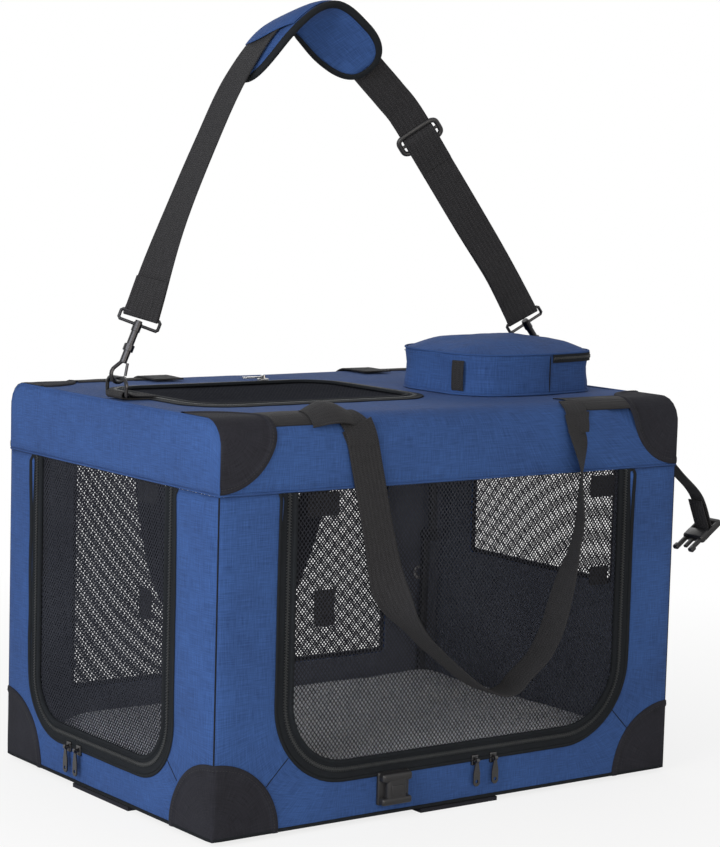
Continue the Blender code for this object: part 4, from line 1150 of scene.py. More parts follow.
def zip_band(name, opening, radius, face, out, hangs):
    """Tape, teeth and bound rim of one door."""
    lines = [[face(u, v, w) for u, v in door_loop(opening, radius, d, hangs)] for d, w in TAPE]
    tape = thicken(coloured(skin(name + "_tape", lines, closed=not hangs), binding), TAPE_T)
    spots = []
    path = [face(u, v, TEETH_LIFT) for u, v in door_loop(opening, radius, TEETH_AT, hangs)]
    for k, (p, t) in enumerate(evenly(path, TEETH_PITCH)):
        side_way = np.cross(out, t)
        spots.append((p + side_way * (TOOTH_STEP if k % 2 else -TOOTH_STEP), t, out))
    teeth = row_of(name + "_teeth", block(TOOTH, TOOTH_EDGE), spots)
    return join(name + "_zip", [tape, coloured(teeth, zip_teeth)])


def hangs_folded(obj):
    """Give the piece its own copy of its mesh."""
    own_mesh(obj)


doors = (
    ("front", front, (0, -1, 0), *OPENINGS["front"][2:4], 0.004, True),
    ("left", left, (-1, 0, 0), *OPENINGS["left"][2:4], 0.004, True),
    ("top", roof, (0, 0, 1), ROOF_DOOR, ROOF_DOOR_R, 0.006, False),
)
for name, face, out, opening, radius, sag, hangs in doors:
    body = name + "_door"
    field = net(name + "_net", opening, radius, face, sag, hangs)
    dress(field, net_thread, body, body)
    band = dress(zip_band(name, opening, radius, face, out, hangs), None, body)
    if hangs:
        hangs_folded(field)
        hangs_folded(band)
    print(name, "net", len(field.data.polygons), "faces")

# %% [markdown]
# The rear and right windows don't open. Their nets are cut like those of the doors, and a flat bound rim
# covers the cut edge. They ride on the base, like the walls.

# %% Fixed windows
WINDOW_RIM = ((-0.011, 0.0002), (-0.0104, 0.0014), (-0.001, 0.0018), (0.0004, 0.0024), (0.0050, 0.0024),
              (0.0062, 0.0004))
for side in ("rear", "right"):
    face, _, opening, radius, _ = OPENINGS[side]
    field = net(side + "_window_net", opening, radius, face, 0.003)
    folds_down(dress(field, net_thread, "base", side + "_window"))
    lines = [[face(u, v, w + 0.0006) for u, v in door_loop(opening, radius, d)] for d, w in WINDOW_RIM]
    rim = skin(side + "_window_rim", lines, closed=True)
    folds_down(dress(thicken(rim, TAPE_T), binding, "base"))
print("windows bound")

# %% [markdown]
# When a door is open, the wall still shows its own half of the zip: a narrow tape sewn along the opening.
# It is drawn with the same loops as the tape of the door and follows the swell of the wall.

# %% Wall halves of the zips
WALL_TAPE = ((-0.0085, 0.0002), (-0.0078, 0.0012), (-0.0046, 0.0012), (-0.0040, -0.0004))
for side in ("front", "left"):
    face, _, opening, radius, _ = OPENINGS[side]
    lines = []
    for d, w in WALL_TAPE:
        loop = door_loop(opening, radius, d, True)
        lines.append([face(u, v, swell(side, u, v) + w + 0.0004) for u, v in loop])
    tape = skin(side + "_wall_tape", lines)
    folds_down(dress(tape, binding, "base"))
print("wall tapes sewn")

# %% [markdown]
# ## Webbing
# The carrying handles and the shoulder strap are flat ribbed webbing, 44 mm wide. Webbing is modelled
# directly: a section with thin rounded selvedges is carried along a smooth path, and a half-width direction
# at each point says how the band is turned. The paths are read from the photograph and lie close to those
# of the solids.

# %% Webbing along a path
WEB, WEB_T = 0.044, 0.0022
SECTION = ((-1.0, 0.2), (-0.985, 0.75), (-0.94, 1.0), (-0.88, 0.86), (-0.45, 0.9), (0.0, 0.92), (0.45, 0.9),
           (0.88, 0.86), (0.94, 1.0), (0.985, 0.75), (1.0, 0.2))


def web(name, centres, halves, thick=WEB_T):
    """Closed band of webbing."""
    centres, halves = np.array(centres, dtype=float), np.array(halves, dtype=float)
    along = np.gradient(centres, axis=0)
    normal = np.cross(along, halves)
    normal /= np.linalg.norm(normal, axis=1)[:, None]
    around = list(SECTION) + [(s, -h) for s, h in reversed(SECTION)]
    lines = [centres + halves * s + normal * h * thick / 2 for s, h in around]
    obj = close_ends(merge(skin(name, lines + lines[:1])))
    bpy.ops.object.shade_smooth_by_angle(angle=math.radians(60))
    return obj


def turned(path, flat_way, side_way):
    """Half-width unit vectors along a path of (x, z, turn)."""
    ahead = np.gradient(path[:, :2], axis=0)
    ahead /= np.linalg.norm(ahead, axis=1)[:, None]
    turn = np.radians(path[:, 2])[:, None]
    flat = np.stack([ahead[:, 1], np.zeros(len(path)), -ahead[:, 0]], axis=1) * flat_way
    return flat * np.cos(turn) + np.array([0, side_way, 0]) * np.sin(turn)


print("webbing", WEB, "m wide")

# %% [markdown]
# Each handle is one band that hangs in a loop. Its path gives x, z, the distance from the wall and the turn
# of the band at each point. The front handle lies flat on the cap at its ends and twists to stand edge-on
# to the wall at the bottom of its loop. The rear one hangs flat.

# %% The two handles
FRONT_HANDLE = ((-0.1620, 0.4790, 0.0012, 0), (-0.1545, 0.4600, 0.0036, 0), (-0.1480, 0.4300, 0.0050, 0),
                (-0.1416, 0.4033, 0.0052, 0), (-0.1298, 0.3514, 0.0060, 0), (-0.1190, 0.2991, 0.0090, 14),
                (-0.1125, 0.2729, 0.0150, 42), (-0.1015, 0.2510, 0.0200, 70), (-0.0850, 0.2310, 0.0235, 86),
                (-0.0600, 0.2080, 0.0240, 88), (-0.0300, 0.1840, 0.0245, 90), (0.0010, 0.1610, 0.0245, 90),
                (0.0330, 0.1450, 0.0245, 90), (0.0600, 0.1448, 0.0245, 90), (0.0790, 0.1600, 0.0245, 90),
                (0.1088, 0.1831, 0.0245, 90), (0.1284, 0.2139, 0.0245, 90), (0.1393, 0.2456, 0.0245, 88),
                (0.1508, 0.2801, 0.0240, 80), (0.1633, 0.3115, 0.0220, 66), (0.1735, 0.3452, 0.0190, 62),
                (0.1767, 0.3855, 0.0150, 54), (0.1796, 0.4122, 0.0125, 44), (0.1800, 0.4392, 0.0085, 26),
                (0.1785, 0.4600, 0.0040, 16), (0.1775, 0.4790, 0.0012, 6))
REAR_HANDLE = ((-0.158, 0.479, 0.0012, 0), (-0.154, 0.455, 0.0040, 0), (-0.150, 0.430, 0.0050, 0),
               (-0.142, 0.380, 0.0055, 0), (-0.134, 0.319, 0.0060, 0), (-0.122, 0.260, 0.0070, 0),
               (-0.105, 0.210, 0.0080, 0), (-0.070, 0.165, 0.0090, 0), (-0.010, 0.140, 0.0100, 0),
               (0.050, 0.150, 0.0100, 0), (0.088, 0.195, 0.0090, 0), (0.115, 0.255, 0.0080, 0),
               (0.130, 0.310, 0.0070, 0), (0.150, 0.380, 0.0060, 0), (0.165, 0.430, 0.0050, 0),
               (0.171, 0.455, 0.0040, 0), (0.176, 0.479, 0.0012, 0))


def length_of(path):
    """Length along a path, to the millimetre."""
    return round(float(np.linalg.norm(np.diff(path, axis=0), axis=1).sum()), 3)


for name, side, controls in (("front_handle", -1, FRONT_HANDLE), ("rear_handle", 1, REAR_HANDLE)):
    path = flow(controls, 6)
    centres = np.stack([path[:, 0], side * (HALF_W + path[:, 2]), path[:, 1]], axis=1)
    halves = turned(path[:, [0, 1, 3]], -1, side) * WEB / 2
    strap = web(name + "_webbing", centres, halves)
    dress(strap, webbing, name, name)
    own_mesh(strap)
    print(name, "webbing", length_of(centres), "m")

# %% [markdown]
# The ends of the handles are sewn over the rounded edge onto the roof. From the upper corner patches a
# strip of the same webbing runs along that edge to the handles, so that the load goes into the frame. At
# the left end of the front a loose loop of it stands up as a keeper. All of these lie on the cap like the
# patches.

# %% Handle ends, edge strips and keeper loop
RAISED = ((0.0, 0.0004), (0.02, 0.0018), *((share, 0.002) for share in (0.1, 0.25, 0.4, 0.55, 0.7, 0.85)),
          (0.98, 0.0018), (1.0, 0.0004))
ENDS = {"front": ((-0.155, -0.174, 0.021, BEND * 0.95), (0.178, 0.178, 0.017, BEND * 0.85)),
        "rear": ((-0.155, -0.160, 0.022, BEND + 0.050), (0.173, 0.178, 0.022, BEND + 0.050))}
KEEPER, KEEPER_T = (-0.222, -0.160), BAND + EDGE_R * math.radians(62)
KEEPER_WIDE, KEEPER_HIGH = 0.034, 0.0105
for side, name in ((-1, "front"), (1, "rear")):
    sewn_on = []
    for x0, x1 in ((-0.278, -0.160), (0.178, 0.278)):
        lines = []
        for share, lift in RAISED:
            t = BAND + 0.020 + WEB * share
            line = [on_cap(x, t, side, lift) for x in span(x0, x1, 32)]
            lines.append(line if side < 0 else line[::-1])
        sewn_on.append(skin("strip", lines))
    for low, high, half, far in ENDS[name]:
        steps = span(0, 1, 30)
        centres = [on_cap(low + (high - low) * s ** 1.5, BAND - 0.006 + far * s, side, 0.0034) for s in steps]
        sewn_on.append(web("handle_end", centres, [(half, 0, 0)] * len(steps)))
    if side < 0:
        lines = []
        for share, lift in RAISED:
            t = KEEPER_T + KEEPER_WIDE * (share - 0.5)
            hump = [KEEPER_HIGH * math.sin(math.pi * i / 28) ** 1.2 for i in range(29)]
            lines.append([on_cap(x, t, side, 0.0018 + lift + high)
                          for x, high in zip(span(*KEEPER, 28), hump)])
        sewn_on.append(thicken(skin("keeper", lines), 0.0016))
    dress(join(name + "_edge_strips", sewn_on), webbing, "top")
print("handle ends, edge strips and keeper sewn")

# %% [markdown]
# The shoulder strap rises from the left hook, lies under the pad and comes down to the right hook. At both
# ends it wraps round the bar of the swivel loop and is sewn back on itself. On the right the return runs up
# to the adjusting slide, so the strap is double there.

# %% The shoulder strap
LEFT_BAR, RIGHT_BAR = (-0.30752, 0.59199, 46), (0.28948, 0.58106, 156)
STRAP = (LEFT_BAR, (-0.269, 0.695, 75), (-0.222, 0.798, 83), (-0.178, 0.882, 85), (-0.125, 0.946, 95),
         (-0.066, 0.967, 115), (-0.020, 0.936, 131), (0.020, 0.900, 146), (0.056, 0.869, 153),
         (0.086, 0.84090, 154), (0.140, 0.77493, 154), (0.195, 0.70774, 162), (0.248, 0.643, 174), RIGHT_BAR)
STEPS = 12
BAR_R = 0.0036


def strap_frame():
    """Middle line, half-width unit vectors and normals of the strap."""
    path = flow(STRAP, STEPS)
    centres = np.stack([path[:, 0], np.zeros(len(path)), path[:, 1]], axis=1)
    halves = turned(path, 1, -1)
    normal = np.cross(np.gradient(centres, axis=0), halves)
    return centres, halves, normal / np.linalg.norm(normal, axis=1)[:, None]


def box_stitch(corners, out):
    """Square of stitches with a cross in it, as webbing is sewn down."""
    a, b, c, d = corners
    lines = ((a, b), (b, c), (c, d), (d, a), (a, c), (b, d))
    rows = [[blend_points(p, q, share) for share in span(0, 1, 6)] for p, q in lines]
    return [stitches("sewn", row, out, pitch=0.0034) for row in rows]


line, across, over = strap_frame()


def wrapped(middle, wide, up_way, back, slack):
    """Return of a strap end, from its sewn tip to the turn round the bar."""
    out, half = [], []
    for i in range(back, 0, -1):
        off = 0.0028 * min(1.0, 0.35 + i / 8 * 0.65) * (1 if i > 1 else 1.15)
        out.append(middle[i] - up_way[i] * (off + slack * math.sin(math.pi * i / back)))
        half.append(wide[i])
    ahead = (middle[1] - middle[0]) / np.linalg.norm(middle[1] - middle[0])
    for degrees in range(-80, 81, 20):
        a = math.radians(degrees)
        out.append(middle[0] - ahead * BAR_R * math.cos(a) + up_way[0] * BAR_R * math.sin(a))
        half.append(wide[0])
    return out, half


left_part, left_half = wrapped(line, across, over, 5, 0.0)
right_part, right_half = wrapped(line[::-1], across[::-1], over[::-1], 49, 0.004)
main = line.copy()
for i in range(1, 8):
    main[i] += over[i] * BAR_R * (1 - i / 8) ** 2 * 0.8
    main[-1 - i] += over[-1 - i] * BAR_R * (1 - i / 8) ** 2 * 0.8
centres = left_part + list(main[1:-1]) + right_part[::-1]
halves = left_half + list(across[1:-1]) + right_half[::-1]
strap = coloured(web("shoulder_strap_webbing", centres, np.array(halves) * WEB / 2), webbing)
sewn = []
for i in (3, len(line) - 5):
    corners = [line[i + a] + across[i + a] * 0.017 * b + over[i] * 0.0016
               for a, b in ((-2, -1), (2, -1), (2, 1), (-2, 1))]
    sewn += box_stitch(corners, tuple(over[i]))
sewn = coloured(join("strap_stitches", sewn), thread_black)
dress(join("shoulder_strap_webbing", [strap, sewn]), None, "strap", "shoulder_strap")
print("strap", length_of(line), "m from bar to bar")

# %% [markdown]
# The adjusting slide is a moulded frame with a middle bar. The strap comes out from under its upper bar and
# runs over the two others, so a short piece of webbing lies over them. The frame is one tube along a circle
# that is drawn out to a rounded rectangle, because its bars are round.

# %% The adjusting slide
slide_low, slide_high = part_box("tri_glide")
k = int(np.argmin(np.linalg.norm(line - np.array((slide_low + slide_high) / 2), axis=1)))
ahead = (line[k + 1] - line[k - 1]) / np.linalg.norm(line[k + 1] - line[k - 1])


def at_slide(along, side, high):
    """Point so far along and across the strap from the middle of the slide."""
    return line[k] + ahead * along + across[k] * side + over[k] * high


def squared(reach, part):
    """Sine or cosine drawn out towards a rounded rectangle."""
    return math.copysign(reach * abs(part) ** 0.45, part)


SLIDE_LONG, SLIDE_WIDE, SLIDE_LIFT = 0.0125, 0.0285, 0.0008
HOOP_R, SLIDE_BAR_R = 0.0034, 0.0022
hoop = []
for degrees in range(0, 360, 6):
    a = math.radians(degrees)
    hoop.append(at_slide(squared(SLIDE_LONG, math.cos(a)), squared(SLIDE_WIDE, math.sin(a)), SLIDE_LIFT))
bar = [at_slide(0, side, SLIDE_LIFT) for side in (-SLIDE_WIDE, SLIDE_WIDE)]
slide = join("strap_slide", [tube("hoop", hoop, HOOP_R, closed=True, sides=3),
                             tube("bar", bar, SLIDE_BAR_R, sides=3)])
dress(slide, plastic, "tri_glide", "tri_glide")
over_bars = flow(((-0.0070, 0.0010), (-0.0040, 0.0034), (0.0, 0.0052), (0.0125, 0.0052), (0.0200, 0.0044),
                  (0.0320, 0.0030), (0.0460, 0.0014)), 5)
cover = web("slide_webbing", [at_slide(a, 0, h) for a, h in over_bars],
            [across[k] * WEB / 2] * len(over_bars))
dress(cover, webbing, "tri_glide")
print("slide at", np.round(line[k], 3))

# %% [markdown]
# The pad is a flat cushion with round ends. It lies under the strap, which runs through a sleeve of the
# same blue cloth on its outer face. Its skin is crowned on both faces and pulled thin at the edge, where a
# black binding runs all round. The pad follows the turn of the strap, so its under face shows on the right.

# %% The shoulder pad
PAD_HALF, PAD_THICK = 0.0445, 0.0105
PAD_MID = PAD_THICK * 0.42
first, last = 3 * STEPS, 7 * STEPS


def pad_frame(s):
    """Middle, width direction and normal of the pad at a share s of its length."""
    place = first + (last - first) * s
    i = min(int(place), len(line) - 2)
    k = place - i
    mixed = [a[i] * (1 - k) + a[i + 1] * k for a in (line, across, over)]
    return mixed[0], mixed[1] / np.linalg.norm(mixed[1]), mixed[2] / np.linalg.norm(mixed[2])


def pad_point(s, q, high):
    """Point of the pad at s along, q across and so high below the strap."""
    middle, side, normal = pad_frame(s)
    wide = PAD_HALF * max(0.0, 1 - abs(2 * s - 1) ** 3.4) ** 0.42
    return middle + side * wide * q + normal * (0.0016 + high + 0.004 * q * q)


stations = [0.5 - 0.5 * math.cos(math.pi * i / 60) for i in range(61)]
cross = [math.sin(math.pi / 2 * (-1 + i / 8)) for i in range(17)]
faces = []
for way in (1, -1):
    lines = []
    for q in cross[::way]:
        row = []
        for s in stations:
            full = max(0.0, 1 - abs(q) ** 6) ** 0.5 * max(0.0, 1 - abs(2 * s - 1) ** 10) ** 0.5
            puffs = 0.0011 * crumple(s, q, (7, 2.2, way), (19, 6, way), 0.0005 / 0.0011)
            row.append(pad_point(s, q, PAD_MID + (way * (PAD_THICK / 2 - 0.0012) + puffs) * full))
        lines.append(row)
    faces.append(skin("pad_face", lines))
pad = coloured(merge(join("shoulder_pad_cloth", faces), 0.0001), blue_cloth)
print("pad faces:", len(pad.data.polygons))

# %% [markdown]
# The sleeve is a second skin that arches over the strap and is open at both ends. The binding is a tape
# folded over the edge: the section of the fold is carried round the rim of the pad.

# %% The sleeve on the pad and its binding
SLEEVE_END, SLEEVE_WIDE = 0.84, 0.86
lines = []
for q in (-1.0, -0.99, -0.93, -0.78, -0.6, -0.4, -0.2, 0.0, 0.2, 0.4, 0.6, 0.78, 0.93, 0.99, 1.0):
    start = 0.15 + 0.06 * (q + 1) - 0.05 * (1 - q * q)
    lift = -0.0050 * (1 - abs(q) ** 4)
    lines.append([pad_point(s, q * SLEEVE_WIDE, -0.0008 + lift) for s in span(start, SLEEVE_END, 40)])
sleeve = thicken(coloured(skin("sleeve", lines[::-1]), blue_cloth), 0.0012)

there, back = stations, stations[-2:0:-1]
rim = np.array([pad_point(s, 1, PAD_MID) for s in there] + [pad_point(s, -1, PAD_MID) for s in back])
facing = np.array([pad_frame(s)[2] for s in there + back])
ahead = np.roll(rim, -1, axis=0) - np.roll(rim, 1, axis=0)
inward = np.cross(facing, ahead)
inward /= np.linalg.norm(inward, axis=1)[:, None]
inward *= np.sign(np.sum(inward * (rim.mean(axis=0) - rim), axis=1).sum())
FOLD = ((7.6, 3.7), (7.2, 4.2), (5.0, 4.4), (2.2, 4.0), (0.2, 3.1), (-1.0, 1.7), (-1.4, 0.0))
tape = list(FOLD) + [(a, -b) for a, b in FOLD[-2::-1]]
lines = [rim + inward * a / 1000 + facing * b / 1000 for a, b in tape]
bound = coloured(merge(skin("pad_binding", [list(row) + [row[0]] for row in lines])), binding)
pad = join("shoulder_pad_cloth", [pad, sleeve, bound])
dress(pad, None, "strap", "shoulder_pad")
print("pad", len(pad.data.polygons), "faces")

# %% [markdown]
# Small webbing: the tabs that hold the D-rings on the roof and the short strap of the closing buckle. Both
# are bands like the handles, only thinner, so the same helper makes them and only their paths are new.

# %% Ring tabs and buckle strap
THIN_WEB_T = 0.0018
TAB_WEB, BUCKLE_WEB = 0.037, 0.025
RING_X, RING_Z = 0.340, TOP_Z + 0.0065
TAB_LONG = {"left": 0.046, "right": 0.033}
for side, name in ((-1, "left"), (1, "right")):
    long = TAB_LONG[name]
    path = [(side * (RING_X - long), TOP_Z + 0.0042), (side * (RING_X - long / 2), TOP_Z + 0.0048),
            (side * (RING_X - 0.012), TOP_Z + 0.0060)]
    for a in range(110, -131, -20):
        turn = math.radians(a)
        path.append((side * (RING_X + 0.0040 * math.cos(turn)), RING_Z + 0.0040 * math.sin(turn)))
    path += [(side * (RING_X - 0.008), TOP_Z + 0.0018), (side * (RING_X - long), TOP_Z + 0.0016)]
    fine = flow(path, 4)
    tab = web("tab_web", [(x, 0, z) for x, z in fine], [(0, TAB_WEB / 2, 0)] * len(fine), THIN_WEB_T)
    coloured(tab, webbing)
    near, far = (side * (RING_X - long + 0.003), TOP_Z + 0.0056), (side * (RING_X - 0.014), TOP_Z + 0.0066)
    corners = [(x, y, z) for (x, z), y in ((near, -0.015), (far, -0.015), (far, 0.015), (near, 0.015))]
    sewn = coloured(join("tab_stitches", box_stitch(corners, (0, 0, 1))), thread_black)
    dress(join(f"ring_tab_webbing_{name}", [tab, sewn]), None, "top", f"ring_tab_{name}")

PLUG_Y, PLUG_TILT = -HALF_W + 0.023, math.radians(55)
drop = [(HALF_L + x, SEAM_Z + z) for x, z in (
    (0.0014, 0.032), (0.0044, 0.008), (0.0234, -0.012), (0.0546, -0.038), (0.0686, -0.058))]
bar = (HALF_L + 0.078, SEAM_Z - 0.090)
for a in range(15, -196, -30):
    turn = math.radians(a)
    drop.append((bar[0] + 0.0030 * math.cos(turn), bar[1] + 0.0030 * math.sin(turn)))
drop += [(HALF_L + 0.0655, SEAM_Z - 0.066), (HALF_L + 0.0600, SEAM_Z - 0.052)]
fine = flow(drop, 6)
strap = web("buckle_strap_webbing", [(x, PLUG_Y, z) for x, z in fine], [(0, BUCKLE_WEB / 2, 0)] * len(fine),
            THIN_WEB_T)
dress(strap, webbing, "buckle_strap", "buckle_strap")
print("ring tabs and buckle strap,", length_of(fine), "m of it")

# %% [markdown]
# The buckle is moulded plastic. The plug hangs from the end of its strap: a body, two side rails and two
# prongs with hooked tips. The socket is a broad block with a raised middle and two ribs. Mouldings have
# soft edges everywhere, so both are joined from blocks with a rounding bevel.


# %% Buckle plug and socket
def moulding(size, place):
    """Block with well rounded edges."""
    deselect()
    bpy.ops.mesh.primitive_cube_add(size=1, location=place)
    obj = bpy.context.object
    obj.scale = size
    bpy.ops.object.transform_apply(location=True, rotation=False, scale=True)
    bevel = obj.modifiers.new("rounding", "BEVEL")
    bevel.width = min(size) * 0.34
    bevel.segments = 3
    return apply_modifiers(obj)


plug_parts = [moulding((0.0110, 0.0360, 0.0180), (0, 0, -0.0150)),
              moulding((0.0090, 0.0360, 0.0080), (0, 0, 0.0135)),
              moulding((0.0040, 0.0060, 0.0180), (0, 0, -0.0310)),
              tube("plug_bar", [(0, -0.016, 0), (0, 0.016, 0)], 0.0018)]
for way in (-1, 1):
    plug_parts.append(moulding((0.0080, 0.0045, 0.0290), (0, way * 0.0158, 0.0010)))
    plug_parts.append(moulding((0.0056, 0.0060, 0.0230), (0, way * 0.0128, -0.0335)))
    plug_parts.append(moulding((0.0062, 0.0085, 0.0090), (0, way * 0.0142, -0.0410)))
plug = join("buckle_plug_moulding", plug_parts)
plug.rotation_euler = (0, PLUG_TILT, 0)
plug.location = (bar[0], PLUG_Y, bar[1])
pick(plug)
bpy.ops.object.transform_apply(location=True, rotation=True, scale=True)
bpy.ops.object.shade_smooth_by_angle(angle=math.radians(50))
dress(plug, plastic, "buckle_plug", "buckle_plug")

SOCKET = (-0.0955, -HALF_W, 0.0395)
socket_parts = [moulding(size, tuple(a + b for a, b in zip(SOCKET, place))) for size, place in (
    ((0.0460, 0.0050, 0.0400), (0, -0.0030, 0)), ((0.0290, 0.0120, 0.0380), (0, -0.0080, 0)),
    ((0.0440, 0.0130, 0.0110), (0, -0.0080, 0.0140)), ((0.0440, 0.0130, 0.0090), (0, -0.0080, -0.0150)),
    ((0.0180, 0.0030, 0.0130), (0, -0.0135, -0.0020)))]
socket = join("buckle_socket_moulding", socket_parts)
pick(socket)
bpy.ops.object.shade_smooth_by_angle(angle=math.radians(50))
dress(socket, plastic, "buckle_socket", "buckle_socket")
print("buckle plug and socket moulded")

# %% [markdown]
# ## Pouch, mat and small cloth
# The roof pouch is a low drum of cloth with a domed lid. Its plan is rounder at the rear left. It is lofted
# in rings from the roof to the middle of the lid: the front bulges, the lid is pulled in at the piped seam,
# and wrinkles fade in above the foot.

# %% The pouch
POUCH = (0.091, 0.307, -0.132, 0.034)
POUCH_SEAM, POUCH_DOME = 0.0528, 0.070
POUCH_CORNERS = (0.040, 0.030, 0.034, 0.060)
POUCH_MID = np.array(((POUCH[0] + POUCH[1]) / 2, (POUCH[2] + POUCH[3]) / 2))
BULGE = 0.020


def drum(margin, count=14):
    """Plan of the pouch, so far inside its edge, from the front left corner round to the right."""
    x0, x1, y0, y1 = POUCH[0] + margin, POUCH[1] - margin, POUCH[2] + margin, POUCH[3] - margin
    limit = min(x1 - x0, y1 - y0) / 2 - 0.0005
    loop = []
    for k, (x, y, sx, sy) in enumerate(((x0, y0, 1, 1), (x1, y0, -1, 1), (x1, y1, -1, -1), (x0, y1, 1, -1))):
        r = max(min(POUCH_CORNERS[k] - margin * 0.7, limit), 0.004)
        for i in range(count + 1):
            a = math.radians(180 + 90 * (k + i / count))
            loop.append((x + sx * r + r * math.cos(a), y + sy * r + r * math.sin(a)))
    whole = []
    for i, p in enumerate(loop):
        q = loop[(i + 1) % len(loop)]
        steps = 12 if i % (count + 1) == count else 1
        whole += [blend_points(p, q, k / steps) for k in range(steps)]
    stuffed = []
    for x, y in whole:
        share = min(1.0, max(0.0, (x - x0) / (x1 - x0)))
        ahead = max(0.0, (POUCH_MID[1] - y) / (POUCH_MID[1] - y0))
        stuffed.append((x, y - BULGE * math.sin(math.pi * share ** 0.8) * ahead))
    return stuffed


def pouch_out(x, y):
    """Level direction away from the middle of the pouch."""
    way = np.array((x, y)) - POUCH_MID
    return way / np.linalg.norm(way)


base = TOP_Z + 0.0008
rings = [(0.0, 0.0), (-0.0012, 0.004), (-0.0006, 0.012), (0.0006, 0.022), (0.0006, 0.032), (-0.0006, 0.041),
         (-0.0016, 0.048), (-0.0006, 0.0515), (0.0016, POUCH_SEAM)]
for k in np.arange(1, 15) / 14.6:
    rings.append((0.0016 + 0.078 * k, POUCH_SEAM + (POUCH_DOME - POUCH_SEAM) * (1 - (1 - k) ** 2.2)))
lines = []
for margin, high in rings:
    row = []
    for x, y in drum(margin):
        crease = crumple(x, y, (24, 24, high * 30), (60, 60, high * 14), 0.6) * min(1.0, high / 0.008)
        out = pouch_out(x, y) * 0.0013 * crease
        row.append((x + out[0], y + out[1], base + high + 0.0011 * crease * (1 if high > 0.053 else 0.2)))
    lines.append(row)
pouch = coloured(close_ends(skin("pouch_cloth", lines, closed=True)), blue_cloth)
print("pouch lofted,", len(pouch.data.polygons), "faces")

# %% [markdown]
# A piped seam runs round the lid and a turned edge round the foot. Two rows of stitches close the front
# seam. The zip sits just under the lid at the right end, and a short tab of webbing is sewn on the left.

# %% Seams of the pouch
POUCH_TOOTH = (0.0012, 0.0028, 0.0014)
piping = tube("pouch_piping", [(x, y, base + 0.0522) for x, y in drum(-0.0012)], 0.0015, closed=True)
foot = tube("pouch_foot", [(x, y, base + 0.0012) for x, y in drum(-0.0014)], 0.0014, closed=True)
for edge in (piping, foot):
    coloured(edge, blue_cloth)
lid_row = [(x, y, base + 0.0475) for x, y in drum(-0.0022)]
sewn = [stitches("sewn", lid_row, lambda p: (*pouch_out(p[0], p[1]), 0))]
front_edge = [p for p in drum(-0.0020) if p[1] < POUCH_MID[1]]
for x in (0.2105, 0.2155):
    y = min(front_edge, key=lambda p: abs(p[0] - x))[1]
    sewn.append(stitches("sewn", [(x, y, z) for z in span(base + 0.003, base + 0.046, 10)], (0, -1, 0)))
front_seam = [(0.2130, y + 0.0012, z) for z in span(base + 0.003, base + 0.049, 10)]
front_seam = coloured(tube("pouch_front_seam", front_seam, 0.0008), binding)
sewn = coloured(join("pouch_stitches", sewn), thread_blue)
pouch = join("pouch_cloth", [pouch, piping, foot, sewn, front_seam])
dress(pouch, None, "top", "pouch")

round_right = sorted(((x, y) for x, y in drum(-0.0020) if x > 0.214 and y < 0.012),
                     key=lambda p: math.atan2(p[1] - POUCH_MID[1], p[0] - POUCH_MID[0]))
lines = [[(x, y, base + high) for x, y in round_right] for high in (0.0405, 0.0420, 0.0460, 0.0490, 0.0510)]
tape = thicken(coloured(skin("pouch_zip_tape", lines), binding), 0.0010, 1.0)
spots = []
for k, (p, t) in enumerate(evenly([(x, y, base + 0.0460) for x, y in round_right], TEETH_PITCH)):
    out = np.array((*pouch_out(p[0], p[1]), 0))
    spots.append((p + out * 0.0011 + np.array((0, 0, 0.0007 if k % 2 else -0.0007)), t, out))
teeth = coloured(row_of("pouch_teeth", block(POUCH_TOOTH, TOOTH_EDGE), spots), zip_teeth)
dress(join("pouch_zip_band", [tape, teeth]), None, "top")

TAB_AT = (0.094, -0.110)
TAB_RISE = ((0.006, 0.0004), (0.010, 0.0016), (0.022, 0.0020), (0.034, 0.0018), (0.044, 0.0006))
around = drum(-0.0022)
k = min(range(len(around)), key=lambda i: math.dist(around[i], TAB_AT))
tangent = np.array((*around[(k + 1) % len(around)], 0)) - np.array((*around[k - 1], 0))
tangent /= np.linalg.norm(tangent)
away = np.array((tangent[1], -tangent[0], 0))
tab = [np.array((*around[k], base + high)) + away * lift for high, lift in TAB_RISE]
fine = flow(tab, 6)
dress(web("pouch_tab", fine, [tangent * 0.0085] * len(fine), 0.0016), webbing, "top")
print("zip teeth on the pouch:", len(spots))

# %% [markdown]
# The mat inside is a loose fleece cushion. It starts as a box a little smaller than its space, is remeshed
# to an even grid and blown up by a short cloth simulation with pressure and no gravity. How far the
# simulation may move a point is capped, so the mat keeps to its space, and its upper side is then raised to
# a thick cushion.

# %% The fleece mat
MAT_SHRINK = Vector((0.006, 0.006, 0.004))
MAT_EDGE, MAT_GRID = 0.008, 0.006
MAT_PRESSURE, MAT_FRAMES = 4.0, 20
MAT_CAP, MAT_PUFF = 0.0038, 0.030
mat_low, mat_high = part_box("fleece_mat")
deselect()
bpy.ops.mesh.primitive_cube_add(size=1)
mat = bpy.context.object
mat.name = mat.data.name = "fleece_mat_cushion"
mat.scale = mat_high - mat_low - 2 * MAT_SHRINK
mat.location = (mat_low + mat_high) / 2
bpy.ops.object.transform_apply(location=True, rotation=False, scale=True)
bevel = mat.modifiers.new("soft_edges", "BEVEL")
bevel.width = MAT_EDGE
bevel.segments = 3
remesh = mat.modifiers.new("even_grid", "REMESH")
remesh.mode = "VOXEL"
remesh.voxel_size = MAT_GRID
apply_modifiers(mat)
rest = np.empty(len(mat.data.vertices) * 3)
mat.data.vertices.foreach_get("co", rest)
cloth = mat.modifiers.new("fill", "CLOTH")
cloth.settings.quality = 4
cloth.settings.use_pressure = True
cloth.settings.uniform_pressure_force = MAT_PRESSURE
cloth.settings.effector_weights.gravity = 0.0
cloth.collision_settings.use_collision = False
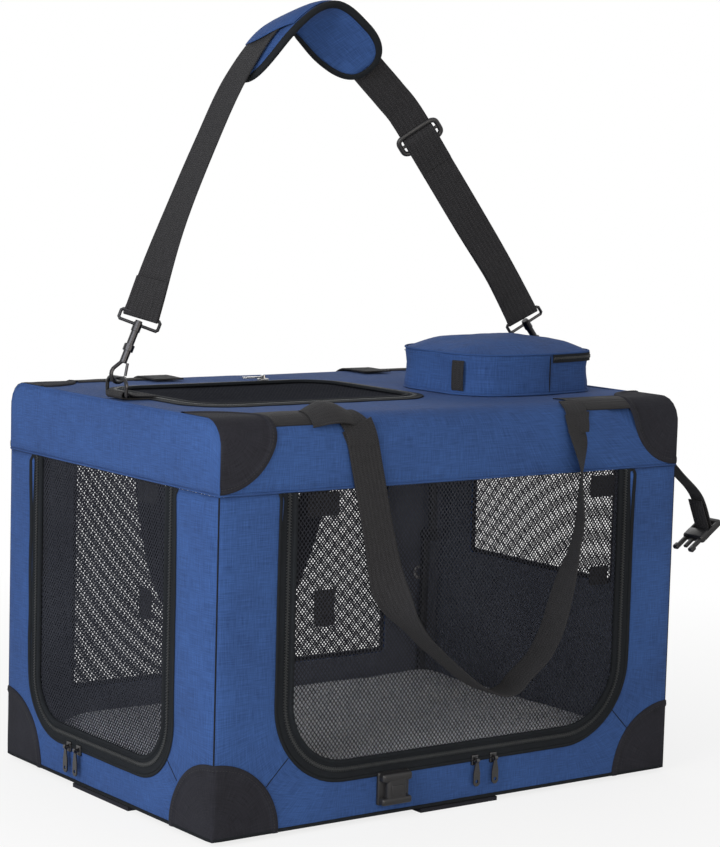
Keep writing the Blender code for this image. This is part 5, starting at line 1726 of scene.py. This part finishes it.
cloth.point_cache.frame_end = MAT_FRAMES
for step in range(1, MAT_FRAMES + 1):
    scene.frame_set(step)
apply_modifiers(mat)
scene.frame_set(1)
moved = np.empty(len(rest))
mat.data.vertices.foreach_get("co", moved)
shift = (moved - rest).reshape(-1, 3)
far = np.linalg.norm(shift, axis=1)[:, None]
shift *= np.minimum(1.0, MAT_CAP / np.maximum(far, 1e-9))
soft = rest.reshape(-1, 3) + shift
soft = np.clip(soft, np.array(mat_low), np.array(mat_high))
for p in soft:
    full = max(0.0, 1 - (p[0] / mat_high.x) ** 24) * max(0.0, 1 - (p[1] / mat_high.y) ** 24)
    top = max(0.0, (p[2] - mat_low.z) / (mat_high.z - mat_low.z))
    p[2] += (MAT_PUFF + 0.0020 * noise.noise(Vector((p[0] * 12, p[1] * 12, 2.0)))) * full * top
mat.data.vertices.foreach_set("co", soft.ravel())
mat.data.update()
pick(mat)
bpy.ops.object.shade_smooth()
dress(mat, fleece, "base", "fleece_mat")
print("mat", len(mat.data.polygons), "faces, moved up to", round(float(far.max()) * 1000, 1), "mm")

# %% [markdown]
# Inside the front and left nets hang short tie tabs, which hold a rolled-up door. They show as dark patches
# through the net. Each is a small bowed skin with a thickness, so that its edge shows too.

# %% Tie tabs
ties = (("front", front, ((-0.221, -0.176, 0.372, 0.400), (-0.2076, -0.179, 0.242, 0.285),
                          (0.2154, 0.2548, 0.369, 0.396), (0.2186, 0.2486, 0.256, 0.279))),
        ("left", left, ((0.0536, 0.0966, 0.376, 0.400), (0.0602, 0.0865, 0.237, 0.273))))
for name, face, places in ties:
    tabs = []
    for u0, u1, v0, v1 in places:
        lines = []
        for share in span(0, 1, 8):
            deep = -0.0085 - 0.0016 * math.sin(math.pi * share)
            lines.append([face(u, v0 + (v1 - v0) * share, deep) for u in span(u0, u1, 8)])
        tabs.append(thicken(skin("tie", lines), 0.0016))
    tie = join(name + "_tie_tabs", tabs)
    dress(tie, webbing, name + "_door")
    hangs_folded(tie)
print("tie tabs hung")

# %% [markdown]
# ## Hard parts
# The floor board, tubes, posts, rings, hooks and sliders keep the shape of the solids, which is already
# true to size, and only get their finishes.

# %% Finishes of the solids
hard = {
    gunmetal: ("d_ring_left", "d_ring_right", "hook_left", "hook_right", "hook_gate_left", "hook_gate_right",
               "strap_loop_left", "strap_loop_right"),
    enamel: ("front_slider_left", "front_slider_right", "front_pull_left", "front_pull_right",
             "left_slider_near", "left_slider_far", "left_pull_near", "left_pull_far", "pouch_slider"),
    bright_metal: ("top_slider",),
    tube_steel: [n for n in nodes if n.startswith(("lower_post", "upper_post"))]
                + ["base_frame", "top_frame"],
    black_cloth: ("base_panel",),
}
for paint, names in hard.items():
    for name in names:
        slots = nodes[name].material_slots
        if slots:
            for place in slots:
                place.material = paint
        else:
            nodes[name].data.materials.append(paint)
print("painted", sum(len(names) for names in hard.values()), "solids")
